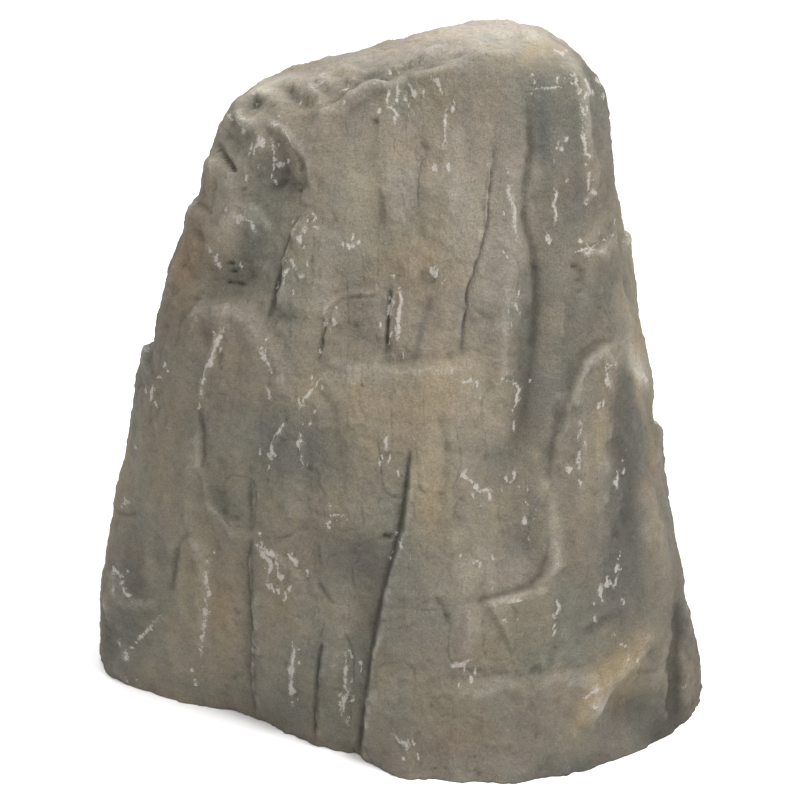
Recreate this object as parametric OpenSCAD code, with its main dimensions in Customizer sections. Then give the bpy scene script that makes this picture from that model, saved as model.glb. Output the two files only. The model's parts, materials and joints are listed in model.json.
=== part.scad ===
// Hollow artificial rock for a pond or large tank: a tall tapering moulded
// resin shell, open underneath, with a service hatch in its flat rear face.
// Millimetres. +Z up. The front of the rock faces -Y, its left side is -X.
// Origin: on the ground, on the shell's vertical centre line.

/* [Rock] */
// Width of the rock over its base
rock_w = 784; // [740:4:860]
// Depth scale of the rock, front to back, in percent
rock_depth = 100; // [92:1:110]
// Height of the crown
rock_h = 838; // [790:2:900]
// Moulded wall thickness
wall_t = 13; // [11:1:16]
// Depth of the ridges, steps and cracks, in percent of the usual relief
relief = 100; // [40:5:120]

/* [Base] */
// Width of the bonded inner flange
flange_w = 55; // [45:1:70]
// Thickness of the inner flange
flange_t = 8; // [6:1:10]
// Diameter of the four anchor holes
anchor_d = 11; // [9:1:13]
// Distance between anchor holes, side to side
anchor_x = 400; // [380:5:420]
// Distance between anchor holes, front to back
anchor_y = 150; // [140:5:155]

/* [Hatch] */
// Width of the hatch door
door_w = 256; // [230:2:260]
// Height of the hatch door
door_h = 336; // [300:2:344]
// Thickness of the hatch door
door_t = 12; // [10:1:14]
// Gap round the door
door_gap = 3; // [2.5:0.5:4]

/* [Hinges and latch] */
// Hinge pin radius
pin_r = 2.5; // [2:0.25:2.75]
// Length of each hinge
hinge_len = 60; // [54:3:72]
// Length of the latch handle
knob_len = 46; // [38:2:54]

/* [Vent and services] */
// Number of louvre blades
blade_n = 6; // [4:1:7]
// Bore of the hose grommet
hose_d = 40; // [32:1:42]
// Bore of the cable gland
cable_d = 9; // [6:1:11]

/* [Hidden] */
$fn = 48;

kx = rock_w / 784;
ky = rock_depth / 100;
kz = rock_h / 838;
kr = relief / 100;

// ---- rock form: plan radius every 15 degrees from +X, anticlockwise ----
ring_z = [0, 200, 400, 600, 780];
ring_r = [
 [384,370,338,316,272,250,245,252,272,314,350,385,398,314,233,212,210,216,250,272,303,330,366,388],
 [344,328,312,300,262,243,240,245,264,302,328,354,366,322,262,232,222,218,236,250,272,302,336,352],
 [300,290,284,276,250,236,234,238,252,282,292,304,312,294,260,235,218,205,198,204,220,246,274,296],
 [258,248,240,232,222,216,214,216,221,232,240,246,248,236,212,188,166,146,138,144,162,192,228,254],
 [238,222,196,174,160,152,148,150,158,168,180,190,192,176,152,126,100,78,66,72,90,128,184,226]];
// flat rear face that carries the hatch
flat_y = 234;
flat_t = 10;

N = 80;       // columns round the rock
NW = 34;      // rows up the wall
NC = 5;       // rows across the crown

function ss(x) = let (c = min(1, max(0, x))) c * c * (3 - 2 * c);
function spline(a, b, c, d, t) = 0.5 * (2*b + (c-a)*t + (2*a-5*b+4*c-d)*t*t + (3*b-a-3*c+d)*t*t*t);
function ring_at(k, th) = let (a = th / 15, i = floor(a), t = a - i, q = ring_r[k])
  spline(q[(i+23)%24], q[i%24], q[(i+1)%24], q[(i+2)%24], t);
function column(th) = [for (k = [0:4]) ring_at(k, th)];
function col_r(q, z) = let (k = z < 200 ? 0 : z < 400 ? 1 : z < 600 ? 2 : 3,
    t = (z - ring_z[k]) / (ring_z[k+1] - ring_z[k]), b = q[k], c = q[k+1],
    a = k == 0 ? 2*b - c : q[k-1], d = k == 3 ? 2*c - b : q[k+2], u = min(1, t))
  spline(a, b, c, d, u) + (t > 1 ? (t-1) * (c-b) : 0);
// height of the crown over a plan point
function crown(x, y) = (x < 95 ? 838 + (x-95)*0.25 : 838 - pow(x-95, 3)/56000)
  - 0.12*max(40-y, 0) - 0.0036*pow(max(y-40, 0), 2);
function rim_h(q, c, s, h, n) = n == 0 ? h :
  let (r = col_r(q, h)) rim_h(q, c, s, 0.5*h + 0.5*crown(r*c, r*s), n-1);

// ---- relief on the front ----
// The relief is laid out on a sight field: an 800 x 800 square seen from the
// eye point in front of the rock, x to the right and y down.
eye_e = 24; eye_d = 2340; eye_f = 1900; eye_z = 378;
eye = [0, -eye_d*cos(eye_e), eye_z + eye_d*sin(eye_e)];
function sight(p) = let (d = p - eye, dz = d[1]*cos(eye_e) - d[2]*sin(eye_e),
    up = d[1]*sin(eye_e) + d[2]*cos(eye_e))
  [400 + eye_f*d[0]/dz, 400 - eye_f*up/dz];
function seg(p, a, b) = let (e = b-a, l2 = e*e,
    t = min(1, max(0, ((p-a)*e)/l2)), q = p - a - e*t)
  [norm(q), sign(e[0]*(p[1]-a[1]) - e[1]*(p[0]-a[0])), t];
function near(p, pts) = let (l = [for (k = [0:len(pts)-2]) seg(p, pts[k], pts[k+1])],
    m = min([for (s = l) s[0]]), w = [for (k = [0:len(l)-1]) if (l[k][0] == m) k][0],
    n = len(l))
  [m, l[w][1], (w + l[w][2]) / n];
function fade(s, e) = ss(s/e) * ss((1-s)/e);
// kinds: 0 swelling or hollow [0, [x,y], rx, ry, height]
//        1 ridge or groove    [1, line, height, half width, end fade]
//        2 step, high on the right-hand side of the line
//                             [2, line, height, length it dies away over, end fade, bevel width]
forms = [
 [0,[276,180],26,32,-15],
 [2,[[303,198],[304,165],[296,147],[282,130],[266,121],[246,124]],7,20,0.3,12],
 [0,[212,166],22,26,9],
 [2,[[216,238],[225,216],[240,203],[256,208],[270,227],[284,256]],7,24,0.3,12],
 [0,[242,246],20,26,-6],
 [0,[252,100],13,8,-9],
 [2,[[268,312],[277,285],[291,241],[302,212]],9,60,0.2,5],
 [2,[[176,338],[202,311],[231,307],[253,315],[266,330],[284,358],[304,395]],11,30,0.3,18],
 [0,[224,372],48,52,8],
 [0,[236,278],42,24,-12],
 [1,[[322,312],[318,365]],-5,6,0.3],
 [1,[[391,284],[386,356]],-6,6,0.3],
 [0,[356,326],27,30,-8],
 [2,[[312,378],[333,371],[382,366],[440,361],[492,353]],8,40,0.2,16],
 [1,[[497,112],[491,161],[484,202],[485,230],[477,259],[468,287],[463,321],[461,354]],-6,6,0.2],
 [2,[[497,112],[491,161],[484,202],[485,230],[477,259],[468,287],[463,321],[461,354]],6,40,0.2,5],
 [1,[[411,440],[408,470],[404,504],[399,529],[388,573],[381,600],[375,627],[368,682],[361,733],[359,800]],-7,6,0.12],
 [2,[[359,800],[361,733],[368,682],[375,627],[381,600],[388,573],[399,529],[404,504],[408,470],[411,440]],11,80,0.15,8],
 [1,[[251,534],[252,595],[254,641],[255,720]],-5,6,0.15],
 [2,[[255,720],[254,641],[252,595],[251,534]],7,42,0.15,6],
 [1,[[322,636],[319,686],[316,745]],-6,6,0.2],
 [2,[[204,424],[204,468],[214,502],[236,524],[256,530]],6,40,0.3,12],
 [0,[238,492],30,34,-4],
 [0,[330,460],50,44,-9],
 [0,[122,604],36,60,7],
 [0,[104,580],16,28,8],
 [0,[204,166],12,16,5],
 [1,[[236,108],[246,122],[258,127],[270,120]],7,7,0.25],
 [0,[352,560],40,30,-6],
 [0,[585,205],24,26,-7],
 [0,[612,292],14,34,-6],
 [0,[188,214],11,20,5],
 [0,[172,276],10,15,4],
 [0,[160,322],28,42,12],
 [1,[[558,48],[568,64],[577,79],[581,108],[586,140],[590,190],[586,222]],6,9,0.2],
 [0,[542,132],17,42,-9],
 [1,[[543,150],[545,210],[540,300],[532,370],[525,430],[500,474]],-8,19,0.2],
 [2,[[572,254],[596,246],[622,228]],8,26,0.3,9],
 [2,[[548,490],[553,440],[562,414],[573,378],[585,355],[600,342],[616,341]],7,40,0.2,9],
 [1,[[617,360],[619,447],[633,480],[629,561]],-8,14,0.2],
 [0,[648,378],13,14,9],
 [0,[622,200],14,20,7],
 [2,[[476,604],[484,598],[509,592],[529,586],[540,574],[546,555],[551,528]],8,50,0.2,9],
 [2,[[425,684],[449,680],[527,677],[577,670],[604,659]],8,50,0.25,16],
 [1,[[660,618],[630,656],[602,691],[574,730]],10,12,0.2],
 [0,[640,708],28,24,-11],
 [1,[[676,600],[677,650],[677,730]],-12,6,0.25],
 [0,[702,655],20,52,16],
 [0,[440,420],42,90,7],
 [1,[[455,118],[452,190],[441,262]],4,9,0.3],
 [1,[[425,108],[419,190],[424,252]],-4,8,0.3],
 [1,[[512,150],[510,230],[503,330],[500,420]],5,10,0.25],
 [1,[[545,470],[551,520],[547,590]],6,12,0.25],
 [1,[[372,120],[375,200],[392,268],[394,300]],-4,10,0.25],
 [0,[345,330],26,26,-3],
 [1,[[196,528],[207,560],[207,597],[200,664]],5,9,0.2],
 [1,[[106,560],[131,598],[160,612]],6,8,0.25]];
function form_h(f, p) =
  f[0] == 0 ? f[4]*exp(-pow((p[0]-f[1][0])/f[2], 2) - pow((p[1]-f[1][1])/f[3], 2)) :
  let (n = near(p, f[1]))
  f[0] == 1 ? f[2]*exp(-pow(n[0]/f[3], 2))*fade(n[2], f[4]) :
  let (x = n[0]*n[1])
  f[2]*fade(n[2], f[4])*ss(x/(len(f) > 5 ? max(6, f[5]) : 6)+0.5)*(x > 0 ? exp(-x/f[3]) : 1);
function total(v) = v * [for (i = v) 1];
function relief_h(p) = let (s = sight(p)) total([for (f = forms) form_h(f, s)]);
// relief of the sides and back, on lines of [angle from +X in degrees, height]
side_k = 4.5;
sides = [
 [1,[[12,-30],[16,120],[8,230],[13,318]],-13,9,0.12],
 [2,[[13,318],[8,230],[16,120],[12,-30]],9,80,0.15],
 [2,[[40,340],[18,318],[-2,345],[-28,322]],12,70,0.2],
 [1,[[30,345],[26,430],[31,520],[28,600]],-11,9,0.2],
 [1,[[-6,345],[-2,450],[4,560],[0,700]],10,18,0.2],
 [2,[[38,575],[15,595],[-12,570]],10,60,0.25],
 [2,[[130,590],[110,618],[88,598],[66,622],[50,596]],12,70,0.2],
 [1,[[95,560],[99,660],[92,740],[97,820]],-11,9,0.15],
 [2,[[97,820],[92,740],[99,660],[95,560]],9,60,0.2],
 [1,[[68,620],[72,700],[66,800]],-10,8,0.2],
 [1,[[120,560],[116,660],[122,780]],10,18,0.2],
 [0,[80,690],60,60,-8],
 [1,[[165,-30],[160,110],[168,240],[162,360],[166,470]],-13,9,0.12],
 [2,[[166,470],[162,360],[168,240],[160,110],[165,-30]],10,80,0.15],
 [2,[[196,425],[176,442],[158,418],[136,438]],12,70,0.2],
 [2,[[190,640],[170,615],[148,642]],10,60,0.25],
 [1,[[145,60],[141,200],[147,330]],-10,9,0.2],
 [1,[[184,60],[188,180],[182,300]],10,18,0.2],
 [0,[150,540],70,60,-9],
 [0,[180,545],60,50,7],
 [1,[[42,-30],[46,140],[41,300],[45,440]],-10,9,0.15],
 [1,[[134,-30],[130,160],[137,330],[132,460]],-10,9,0.15],
 [0,[25,160],60,80,8],
 [0,[-5,140],50,80,-7]];
function side_pt(q) = [q[0]*side_k, q[1]];
function side_form(f) = f[0] == 0 ? [0, side_pt(f[1]), f[2], f[3], f[4]] :
  [f[0], [for (q = f[1]) side_pt(q)], f[2], f[3], f[4]];
side_set = [for (f = sides) side_form(f)];
function side_h(th, z) = let (p = side_pt([th < 270 ? th : th - 360, z]))
  total([for (f = side_set) form_h(f, p)]);

// one grid point: [outer, inner]
function rock_pt(x, y, z, ct, st, up, th) =
  let (p = [x, y, z], d = [ct, st, up]/norm([ct, st, up]), v = (eye-p)/norm(eye-p),
    f = ss((v*d + 0.15)/0.45),
    h = kr*((f > 0 ? f*relief_h(p) : 0) + (f < 1 ? (1-f)*side_h(th, z) : 0)),
    lift = ss(z/60),
    o = p + [d[0]*h, d[1]*h, d[2]*h*lift],
    i = p + [d[0]*(0.65*h - wall_t), d[1]*(0.65*h - wall_t), (d[2]*(0.65*h) - (up > 0.4 ? wall_t : 0))*lift],
    m = y > 60 ? ss((275 - abs(x))/60) * ss((565 - z)/115) : 0)
  [[o[0]*kx, (o[1] + m*(flat_y - o[1]))*ky, o[2]*kz],
   [i[0]*kx, (i[1] + m*(flat_y - flat_t - i[1]))*ky, i[2]*kz]];

function rock_grid() = let (
    q = [for (i = [0:N-1]) column(i*360/N)],
    H = [for (i = [0:N-1]) let (a = i*360/N) rim_h(q[i], cos(a), sin(a), 780, 9)],
    walls = [for (j = [0:NW], i = [0:N-1]) let (a = i*360/N, z = H[i]*j/NW, r = col_r(q[i], z))
      rock_pt(r*cos(a), r*sin(a), z, cos(a), sin(a), 0.2 + 0.5*ss((j/NW-0.93)/0.07), a)],
    caps = [for (j = [1:NC-1], i = [0:N-1]) let (a = i*360/N, s = 1-j/NC, r = col_r(q[i], H[i]),
        x = 20+(r*cos(a)-20)*s, y = 20+(r*sin(a)-20)*s)
      rock_pt(x, y, crown(x, y), cos(a)*s*0.5, sin(a)*s*0.5, 1, a)],
    tip = [rock_pt(20, 20, crown(20, 20), 0, 0.01, 1, 0)])
  concat(walls, caps, tip);

rows = NW + NC;          // ring rows, the last one followed by the tip
M = rows*N + 1;          // points on one skin
function quads(o, flip) = [for (j = [0:rows-2], i = [0:N-1]) let (k = (i+1)%N,
    a = o+j*N+i, b = o+j*N+k, c = o+(j+1)*N+k, d = o+(j+1)*N+i)
  each (flip ? [[a,c,d],[a,b,c]] : [[a,d,c],[a,c,b]])];
function fan(o, flip) = [for (i = [0:N-1]) let (k = (i+1)%N, a = o+(rows-1)*N+i,
    b = o+(rows-1)*N+k, t = o+M-1) flip ? [a,b,t] : [a,t,b]];
function lip() = [for (i = [0:N-1]) let (k = (i+1)%N) each [[i,k,M+k],[i,M+k,M+i]]];

// inside outline of the shell at a low height, for the bonded flange
function foot_pts(inset) = let (
    q = [for (i = [0:N-1]) column(i*360/N)],
    H = [for (i = [0:N-1]) let (a = i*360/N) rim_h(q[i], cos(a), sin(a), 780, 9)])
  [for (i = [0:N-1]) let (a = i*360/N,
     p = [for (j = [0:1]) let (z = H[i]*j/NW, r = col_r(q[i], z))
       rock_pt(r*cos(a), r*sin(a), z, cos(a), sin(a), 0.2, a)[1]],
     r0 = norm([p[0][0], p[0][1]]), r1 = norm([p[1][0], p[1][1]]),
     r = min(r0, r0 + (r1-r0)*0.6) - 0.6 - inset, b = atan2(p[0][1], p[0][0]))
   [r*cos(b), r*sin(b)]];

// ---- hatch layout ----
Y0 = flat_y*ky;                 // outer face of the flat rear
YF = Y0 + 12;                   // front face of the hatch frame and the door
dx0 = -163; dx1 = dx0 + door_w; // door edges
dz0 = 72; dz1 = dz0 + door_h;
fx0 = dx0 - door_gap; fx1 = dx1 + door_gap;
fz0 = dz0 - door_gap; fz1 = dz1 + door_gap;
bw = 30;                        // width of the frame border
slv = 3.5;                      // sleeve wall
hx = dx1 + door_gap/2;          // hinge axis
hy = YF + 5;
lx = dx0 + 35; lz = (dz0 + dz1)/2 - 20;   // latch axis
vx0 = (dx0+dx1)/2 - 80; vx1 = vx0 + 160;  // vent opening
vz1 = dz1 - 28; vz0 = vz1 - 84;
gx = 160; gz = 95; cz = 172;    // grommet and gland
hu = dz1 - 70; hl = dz0 + 70;   // hinge centre heights

module rock_shell() { color([0.52, 0.49, 0.43])
  resize([0, 0, 0]) difference() {
    let (g = rock_grid())
    polyhedron(points = concat([for (p = g) p[0]], [for (p = g) p[1]]),
      faces = concat(quads(0, false), fan(0, false), quads(M, true), fan(M, true), lip()),
      convexity = 8);
    translate([fx0 - slv - 0.5, Y0 - 60, fz0 - slv - 0.5])
      cube([fx1 - fx0 + 2*slv + 1, 90, fz1 - fz0 + 2*slv + 1]);
    translate([gx, Y0 - 60, gz]) rotate([-90, 0, 0]) cylinder(r = 27, h = 90);
    translate([gx, Y0 - 60, cz]) rotate([-90, 0, 0]) cylinder(r = 10.2, h = 90);
  }
}

module anchor_at() { for (x = [-anchor_x/2, anchor_x/2], y = [-anchor_y/2, anchor_y/2])
  translate([x, y, 0]) children(); }

module base_flange() { color([0.30, 0.31, 0.30])
  difference() {
    union() {
      translate([0, 0, 3]) linear_extrude(flange_t) difference() {
        polygon(foot_pts(0)); polygon(foot_pts(flange_w)); }
      intersection() {
        translate([0, 0, 3]) linear_extrude(flange_t) polygon(foot_pts(0));
        for (s = [-1, 1], y = [-anchor_y/2, anchor_y/2])
          translate([s > 0 ? anchor_x/2 - 32 : -anchor_x/2 - 208, y - 32, 0]) cube([240, 64, 20]);
      }
    }
    anchor_at() translate([0, 0, -1]) cylinder(d = anchor_d, h = 30);
  }
}

module foot_pads() { color([0.10, 0.10, 0.10])
  anchor_at() difference() {
    cylinder(r = 25, h = 2.95);
    translate([0, 0, -1]) cylinder(d = anchor_d, h = 6);
  }
}

module box(x0, x1, y0, y1, z0, z1) { translate([x0, y0, z0]) cube([x1-x0, y1-y0, z1-z0]); }

module hatch_frame() { color([0.22, 0.23, 0.22])
  difference() {
    union() {
      box(fx0 - bw, fx1 + bw, Y0 + 0.2, YF, fz0 - bw, fz1 + bw);
      box(fx0 - slv, fx1 + slv, Y0 - 20, Y0 + 1, fz0 - slv, fz1 + slv);
    }
    box(fx0, fx1, Y0 - 4, YF + 5, fz0, fz1);
    box(fx0 + 16, fx1 - 16, Y0 - 9, YF, fz0 + 16, fz1 - 16);
    box(fx0, fx1, Y0 - 30, Y0 - 8, fz0, fz1);
    for (z = [hu, hl], s = [-1, 1]) translate([hx + 14, YF - 9, z + s*hinge_len*0.3])
      rotate([-90, 0, 0]) cylinder(r = 2.05, h = 12);
  }
}

module hatch_seal() { color([0.08, 0.08, 0.08])
  difference() {
    box(fx0 + 0.5, fx1 - 0.5, Y0 - 3.95, Y0 - 0.05, fz0 + 0.5, fz1 - 0.5);
    box(fx0 + 12, fx1 - 12, Y0 - 6, Y0 + 2, fz0 + 12, fz1 - 12);
  }
}

module hatch_door() { color([0.50, 0.47, 0.41])
  difference() {
    union() {
      box(dx0, dx1, YF - door_t, YF, dz0, dz1);
      // raised field under the vent
      box(dx0 + 62, dx1 - 34, YF - 1, YF + 3, dz0 + 26, vz0 - 30);
    }
    box(vx0, vx1, Y0 - 5, YF + 5, vz0, vz1);
    translate([lx, Y0 - 5, lz]) rotate([-90, 0, 0]) cylinder(r = 7.6, h = 30);
    for (z = [hu, hl], s = [-1, 1]) translate([hx - 14, YF - 9, z + s*hinge_len*0.3])
      rotate([-90, 0, 0]) cylinder(r = 2.05, h = 12);
    vent_at() translate([0, YF - 9, 0]) rotate([-90, 0, 0]) cylinder(r = 2.05, h = 12);
  }
}

module knuckle(z0, z1, r) { translate([hx, hy, z0]) difference() {
  union() { cylinder(r = 4.5, h = z1 - z0); children(); }
  translate([0, 0, -1]) cylinder(r = r, h = z1 - z0 + 2); } }

module fixed_leaf(z) { t = hinge_len/3;
  difference() {
    union() {
      box(hx + 1.5, hx + 24, YF + 0.05, YF + 2.5, z - hinge_len/2, z + hinge_len/2);
      for (s = [-1, 1]) {
        translate([hx, hy, z + s*t - t/2 + 0.2]) cylinder(r = 4.5, h = t - 0.4);
        box(hx, hx + 3, YF + 0.5, YF + 2.5, z + s*t - t/2 + 0.2, z + s*t + t/2 - 0.2);
      }
    }
    box(hx - 6, hx + 5.2, YF - 1, YF + 12, z - t/2 - 0.2, z + t/2 + 0.2);
    translate([hx, hy, z - hinge_len]) cylinder(r = pin_r + 0.03, h = 2*hinge_len);
    for (s = [-1, 1]) translate([hx + 14, YF - 2, z + s*hinge_len*0.3])
      rotate([-90, 0, 0]) cylinder(r = 2.2, h = 12);
  }
}
module door_leaf(z) { t = hinge_len/3;
  difference() {
    union() {
      box(hx - 24, hx - 1.5, YF + 0.05, YF + 2.5, z - hinge_len/2, z + hinge_len/2);
      translate([hx, hy, z - t/2 + 0.2]) cylinder(r = 4.5, h = t - 0.4);
      box(hx - 3, hx, YF + 0.5, YF + 2.5, z - t/2 + 0.2, z + t/2 - 0.2);
    }
    for (s = [-1, 1]) box(hx - 5.2, hx + 6, YF - 1, YF + 12, z + s*t - t/2 - 0.2, z + s*t + t/2 + 0.2);
    translate([hx, hy, z - hinge_len]) cylinder(r = pin_r + 0.06, h = 2*hinge_len);
    for (s = [-1, 1]) translate([hx - 14, YF - 2, z + s*hinge_len*0.3])
      rotate([-90, 0, 0]) cylinder(r = 2.2, h = 12);
  }
}
module hinge_pin(z) { translate([hx, hy, z - hinge_len/2 - 2]) {
  cylinder(r = pin_r, h = hinge_len + 2);
  translate([0, 0, hinge_len + 2]) cylinder(r = pin_r + 1.5, h = 2); } }

module pan_screw(l) { rotate([-90, 0, 0]) {
  difference() {
    translate([0, 0, 0.05]) rotate_extrude() polygon([[0,0],[4,0],[4,1],[3.2,2.1],[0,2.5]]);
    translate([-0.5, -2.6, 1.4]) cube([1, 5.2, 3]);
    translate([-2.6, -0.5, 1.4]) cube([5.2, 1, 3]);
  }
  translate([0, 0, -l]) cylinder(r = 2, h = l + 0.5); } }

module hinge_upper_fixed_leaf() { color([0.70, 0.70, 0.68]) fixed_leaf(hu); }
module hinge_lower_fixed_leaf() { color([0.70, 0.70, 0.68]) fixed_leaf(hl); }
module hinge_upper_door_leaf() { color([0.70, 0.70, 0.68]) door_leaf(hu); }
module hinge_lower_door_leaf() { color([0.70, 0.70, 0.68]) door_leaf(hl); }
module hinge_upper_pin() { color([0.60, 0.60, 0.60]) hinge_pin(hu); }
module hinge_lower_pin() { color([0.60, 0.60, 0.60]) hinge_pin(hl); }
module hinge_frame_screws() { color([0.65, 0.65, 0.65])
  for (z = [hu, hl], s = [-1, 1]) translate([hx + 14, YF + 2.5, z + s*hinge_len*0.3]) pan_screw(9); }
module hinge_door_screws() { color([0.65, 0.65, 0.65])
  for (z = [hu, hl], s = [-1, 1]) translate([hx - 14, YF + 2.5, z + s*hinge_len*0.3]) pan_screw(9); }

// ---- quarter-turn latch, axis along Y ----
module latch_body() { color([0.12, 0.12, 0.12])
  translate([lx, 0, lz]) rotate([-90, 0, 0]) difference() {
    union() {
      translate([0, 0, YF + 0.05]) cylinder(r1 = 16, r2 = 14.5, h = 3.5);
      translate([0, 0, Y0 - 6]) cylinder(r = 7.5, h = 20);
    }
    translate([0, 0, Y0 - 20]) cylinder(r = 4.06, h = 60);
  }
}
module latch_body_nut() { color([0.62, 0.62, 0.60])
  translate([lx, Y0 - 4.2, lz]) rotate([-90, 0, 0]) difference() {
    cylinder(r = 12, h = 4.1, $fn = 6);
    translate([0, 0, -1]) cylinder(r = 7.55, h = 8);
  }
}
module latch_knob() { color([0.14, 0.14, 0.14])
  translate([lx, 0, lz]) rotate([-90, 0, 0]) {
    translate([0, 0, YF + 3.65]) cylinder(r = 12, h = 4);
    translate([-5, -knob_len/2, YF + 6]) cube([10, knob_len, 9]);
    translate([0, 0, Y0 - 12.5]) cylinder(r = 4, h = 30);
  }
}
module latch_cam() { color([0.66, 0.66, 0.64])
  translate([lx, Y0 - 12.4, lz]) rotate([-90, 0, 0]) difference() {
    union() {
      cylinder(r = 9, h = 3.9);
      translate([-7, -32, 0]) cube([14, 32, 3.9]);
    }
    translate([0, 0, -1]) cylinder(r = 4.03, h = 8);
  }
}
module latch_cam_screw() { color([0.6, 0.6, 0.6])
  translate([lx, Y0 - 12.6, lz]) rotate([90, 0, 0]) difference() {
    cylinder(r = 6.5, h = 3);
    translate([-3.5, -0.6, 1.8]) cube([7, 1.2, 3]);
  }
}

// ---- vent ----
module vent_at() { for (x = [vx0 - 6, vx1 + 6], z = [vz0 - 6, vz1 + 6]) translate([x, 0, z]) children(); }
module vent_grille() { color([0.20, 0.21, 0.20])
  union() {
    difference() {
      union() {
        box(vx0 - 12, vx1 + 12, YF + 0.05, YF + 2.5, vz0 - 12, vz1 + 12);
        box(vx0 + 0.3, vx1 - 0.3, YF - 8, YF + 1, vz0 + 0.3, vz1 - 0.3);
      }
      box(vx0 + 3, vx1 - 3, YF - 20, YF + 10, vz0 + 3, vz1 - 3);
      vent_at() translate([0, YF - 1, 0]) rotate([-90, 0, 0]) cylinder(r = 2.2, h = 12);
    }
    for (i = [0:blade_n-1]) translate([vx0 + 2, YF - 2.5, vz0 + 3 + (i+0.5)*(vz1-vz0-6)/blade_n])
      rotate([-40, 0, 0]) translate([0, -6, -1]) cube([vx1 - vx0 - 4, 12, 2]);
  }
}
module vent_screen() { color([0.55, 0.55, 0.53])
  difference() {
    box(vx0 + 0.3, vx1 - 0.3, Y0 + 0.3, Y0 + 1.5, vz0 + 0.3, vz1 - 0.3);
    for (i = [0:10], j = [0:5]) translate([vx0 + 5.2 + i*13.8, Y0 - 1, vz0 + 3.2 + j*13.2]) cube([11.4, 4, 11.4]);
  }
}
module vent_screws() { color([0.65, 0.65, 0.65])
  vent_at() translate([0, YF + 2.5, 0]) pan_screw(9); }

// ---- hose grommet and cable gland in the rear wall ----
module hose_grommet() { color([0.09, 0.09, 0.09])
  translate([gx, Y0, gz]) rotate([-90, 0, 0]) difference() {
    union() {
      translate([0, 0, 0.1]) cylinder(r1 = 33, r2 = 31, h = 4);
      translate([0, 0, -12]) cylinder(r = 26.5, h = 14);
      translate([0, 0, -flat_t*ky - 4.1]) cylinder(r = 31, h = 4);
    }
    translate([0, 0, -30]) cylinder(d = hose_d, h = 60);
  }
}
module cable_gland_body() { color([0.16, 0.16, 0.17])
  translate([gx, Y0, cz]) rotate([-90, 0, 0]) difference() {
    union() {
      translate([0, 0, 0.1]) cylinder(r = 15, h = 6, $fn = 6);
      translate([0, 0, -22]) cylinder(r = 9.9, h = 24);
      translate([0, 0, 5]) cylinder(r = 9.5, h = 7);
    }
    translate([0, 0, -30]) cylinder(d = cable_d + 4, h = 60);
  }
}
module cable_gland_cap() { color([0.14, 0.14, 0.15])
  translate([gx, Y0, cz]) rotate([-90, 0, 0]) difference() {
    translate([0, 0, 6.2]) cylinder(r1 = 14, r2 = 11, h = 13);
    translate([0, 0, 5]) cylinder(r = 9.58, h = 7.3);
    translate([0, 0, 0]) cylinder(d = cable_d + 5, h = 30);
  }
}
module cable_gland_seal() { color([0.08, 0.08, 0.08])
  translate([gx, Y0, cz]) rotate([-90, 0, 0]) difference() {
    translate([0, 0, 2]) cylinder(d = cable_d + 3.9, h = 15);
    translate([0, 0, -1]) cylinder(d = cable_d, h = 30);
  }
}
module cable_gland_locknut() { color([0.16, 0.16, 0.17])
  translate([gx, Y0 - flat_t*ky - 6.1, cz]) rotate([-90, 0, 0]) difference() {
    cylinder(r = 15, h = 6, $fn = 6);
    translate([0, 0, -1]) cylinder(r = 9.96, h = 10);
  }
}

rock_shell();
base_flange();
foot_pads();
hatch_frame();
hatch_seal();
hatch_door();
hinge_upper_fixed_leaf();
hinge_upper_door_leaf();
hinge_upper_pin();
hinge_lower_fixed_leaf();
hinge_lower_door_leaf();
hinge_lower_pin();
hinge_frame_screws();
hinge_door_screws();
latch_body();
latch_body_nut();
latch_knob();
latch_cam();
latch_cam_screw();
vent_grille();
vent_screen();
vent_screws();
hose_grommet();
cable_gland_body();
cable_gland_cap();
cable_gland_seal();
cable_gland_locknut();
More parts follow.
